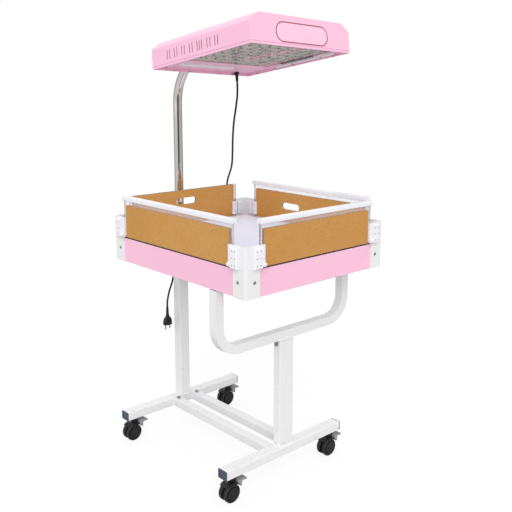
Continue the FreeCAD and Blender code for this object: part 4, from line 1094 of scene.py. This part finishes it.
def trimCasters():
    cap = headPattern("hubCapPattern", [(0, -0.04), (1, -0.04), (1, 0.03), (0.93, 0.06), (0.84, 0.05), (0.80, 0.015),
                                        (0.46, 0.015), (0.42, 0.08), (0.30, 0.10), (0.26, 0.07), (0, 0.075)], 28)
    ribs = ribsTree()
    for number in range(1, 5):
        low, high = (Vector(corner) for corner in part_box("caster_wheels_%d" % number))
        middle = (low + high) / 2
        spots = [(Vector((middle.x, side, middle.z)), (0, way, 0), 0) for side, way in ((low.y, -1), (high.y, 1))]
        studded("hubCaps_%d" % number, spots, cap, casterTrim["hubRadius"], "wheels_%d" % number, "black_plastic")
        low, high = (Vector(corner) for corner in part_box("caster_brake_%d" % number))
        start = Vector((high.x - casterTrim["ribFirst"], (low.y + high.y) / 2, high.z + casterTrim["dropFrom"]))
        grown("pedalRibs_%d" % number, linked("ribHolder", []), ribs,
              {"Pedal": nodes["caster_brake_%d" % number], "Start": start, "Step": (-casterTrim["ribStep"], 0, 0),
               "Count": casterTrim["ribCount"], "Rib": casterTrim["rib"]}, "brake_%d" % number, "brake_grey")
    bpy.data.objects.remove(cap)


trimCasters()
print("casters trimmed")


# coated weld beads round the feet of the columns

weld = {
    "size": 0.0034,
    "step": 0.0042,
    "sizes": (0.75, 1.05),
    "seed": 7,
}


def makeWelds():
    tree, board, given = newGeometryTree("weldTree", [("Size", "Float"), ("Step", "Float"), ("Seed", "Int"),
                                                      ("Finish", "Material")])
    line = board.add("GeometryNodeMeshToCurve", {}, {0: given["Geometry"]})
    spots = board.add("GeometryNodeCurveToPoints", {"mode": "LENGTH"}, {"Curve": line, "Length": given["Step"]})
    blob = board.add("GeometryNodeMeshIcoSphere", {}, {"Radius": given["Size"], "Subdivisions": 2})
    smallest, largest = weld["sizes"]
    random = board.add("FunctionNodeRandomValue", {"data_type": "FLOAT"},
                       {2: smallest, 3: largest, 8: given["Seed"]}, out=1)
    spread = board.add("GeometryNodeInstanceOnPoints", {}, {"Points": spots, "Instance": blob, "Scale": random})
    finishTree(board, spread, given["Finish"])
    points, edges = [], []
    for node, end in (("rear_column", 0), ("front_column", 0), ("front_column", 1)):
        low, high = (Vector(corner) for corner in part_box(node))
        z = (low, high)[end].z
        edges += ringEdges(len(points), 4)
        points += [(low.x, low.y, z), (high.x, low.y, z), (high.x, high.y, z), (low.x, high.y, z)]
    grown("weldBeads", linked("weldLoops", points, edges), tree,
          {"Size": weld["size"], "Step": weld["step"], "Seed": weld["seed"]}, "stand", "stand_white")


makeWelds()
print("welds laid")


# floor, light and background

studio = {
    "worldLevel": 0.91,
    "keyLevel": 1.20,
    "keyFrom": (-0.75, -0.82, 0.80),
    "keySpread": 40,
    "floorSize": 60,
    "floorGrey": 0.58,          # what the floor throws back at the object
    "floorWhite": 0.86,         # how much of the floor is plain white to the camera, the rest takes the shadow
    # cards round the mast: direction and half width in degrees, level
    "flags": [(239, 22, 0.10), (267, 6, 0.34), (300, 24, 0.52), (8, 26, 0.26), (112, 30, 0.50)],
    "flagWarmth": (1, 0.93, 0.88),
    "flagHeight": 2.6, "flagReach": 3.0, "flagCentre": (0, 0.19, 0),
}


def makeStage():
    half = studio["floorSize"] / 2
    floor = linked("floor", [(-half, -half, 0), (half, -half, 0), (half, half, 0), (-half, half, 0)],
                   faces=[(0, 1, 2, 3)])
    material, board = newFinish("floorWhite")
    seen = board.add("ShaderNodeLightPath", out="Is Camera Ray")
    grey = (studio["floorGrey"],) * 3 + (1,)
    plain = board.add("ShaderNodeBsdfDiffuse", {}, {"Color": board.blend(seen, grey, (1, 1, 1, 1))})
    white = board.add("ShaderNodeEmission", {}, {"Color": (1, 1, 1, 1), "Strength": 1.0})
    mixed = board.add("ShaderNodeMixShader", {}, {0: seen * studio["floorWhite"], 1: plain, 2: white})
    board.add("ShaderNodeOutputMaterial", {}, {"Surface": mixed})
    floor.data.materials.append(material)
    world = bpy.data.worlds.new("studio")
    sceneNow.world = world
    world.use_nodes = True
    world.node_tree.nodes.clear()
    board = Board(world.node_tree)
    path = board.tree.nodes.new("ShaderNodeLightPath")
    direct = [Wire(board, path.outputs[name]) for name in ("Is Camera Ray", "Is Glossy Ray", "Is Transmission Ray")]
    bright = board.add("ShaderNodeMath", {"operation": "ADD", "use_clamp": True},
                       {0: direct[0] + direct[1], 1: direct[2]})
    level = bright * (1 - studio["worldLevel"]) + studio["worldLevel"]
    light = board.add("ShaderNodeBackground", {}, {"Color": (1, 1, 1, 1), "Strength": level})
    board.add("ShaderNodeOutputWorld", {}, {"Surface": light})
    key = bpy.data.lights.new("key", "SUN")
    key.energy = studio["keyLevel"]
    key.angle = radians(studio["keySpread"])
    sun = placed("key", key)
    sun.rotation_euler = Vector(studio["keyFrom"]).to_track_quat("Z", "Y").to_euler()


def makeFlags():
    # cards round the mast that only shiny metal sees, so that the tube gets its dark and light stripes
    up = Vector((0, 0, studio["flagHeight"] / 2))
    for number, (way, half, level) in enumerate(studio["flags"]):
        material, board = newFinish("flagCard%d" % number)
        warm = tuple(level * share for share in studio["flagWarmth"]) + (1,)
        glow = board.add("ShaderNodeEmission", {}, {"Color": warm, "Strength": 1.0})
        board.add("ShaderNodeOutputMaterial", {}, {"Surface": glow})
        outward = Vector((cos(radians(way)), sin(radians(way)), 0)) * studio["flagReach"]
        across = Vector((-outward.y, outward.x, 0)) * tan(radians(half))
        centre = outward + Vector(studio["flagCentre"]) + up
        card = linked("flag%d" % number, [centre - across - up, centre + across - up, centre + across + up,
                                          centre - across + up], faces=[(0, 1, 2, 3)])
        card.data.materials.append(material)
        card.visible_camera = card.visible_diffuse = card.visible_shadow = card.visible_transmission = False


makeStage()
makeFlags()
sceneNow.view_settings.view_transform = "Standard"
print("stage set")
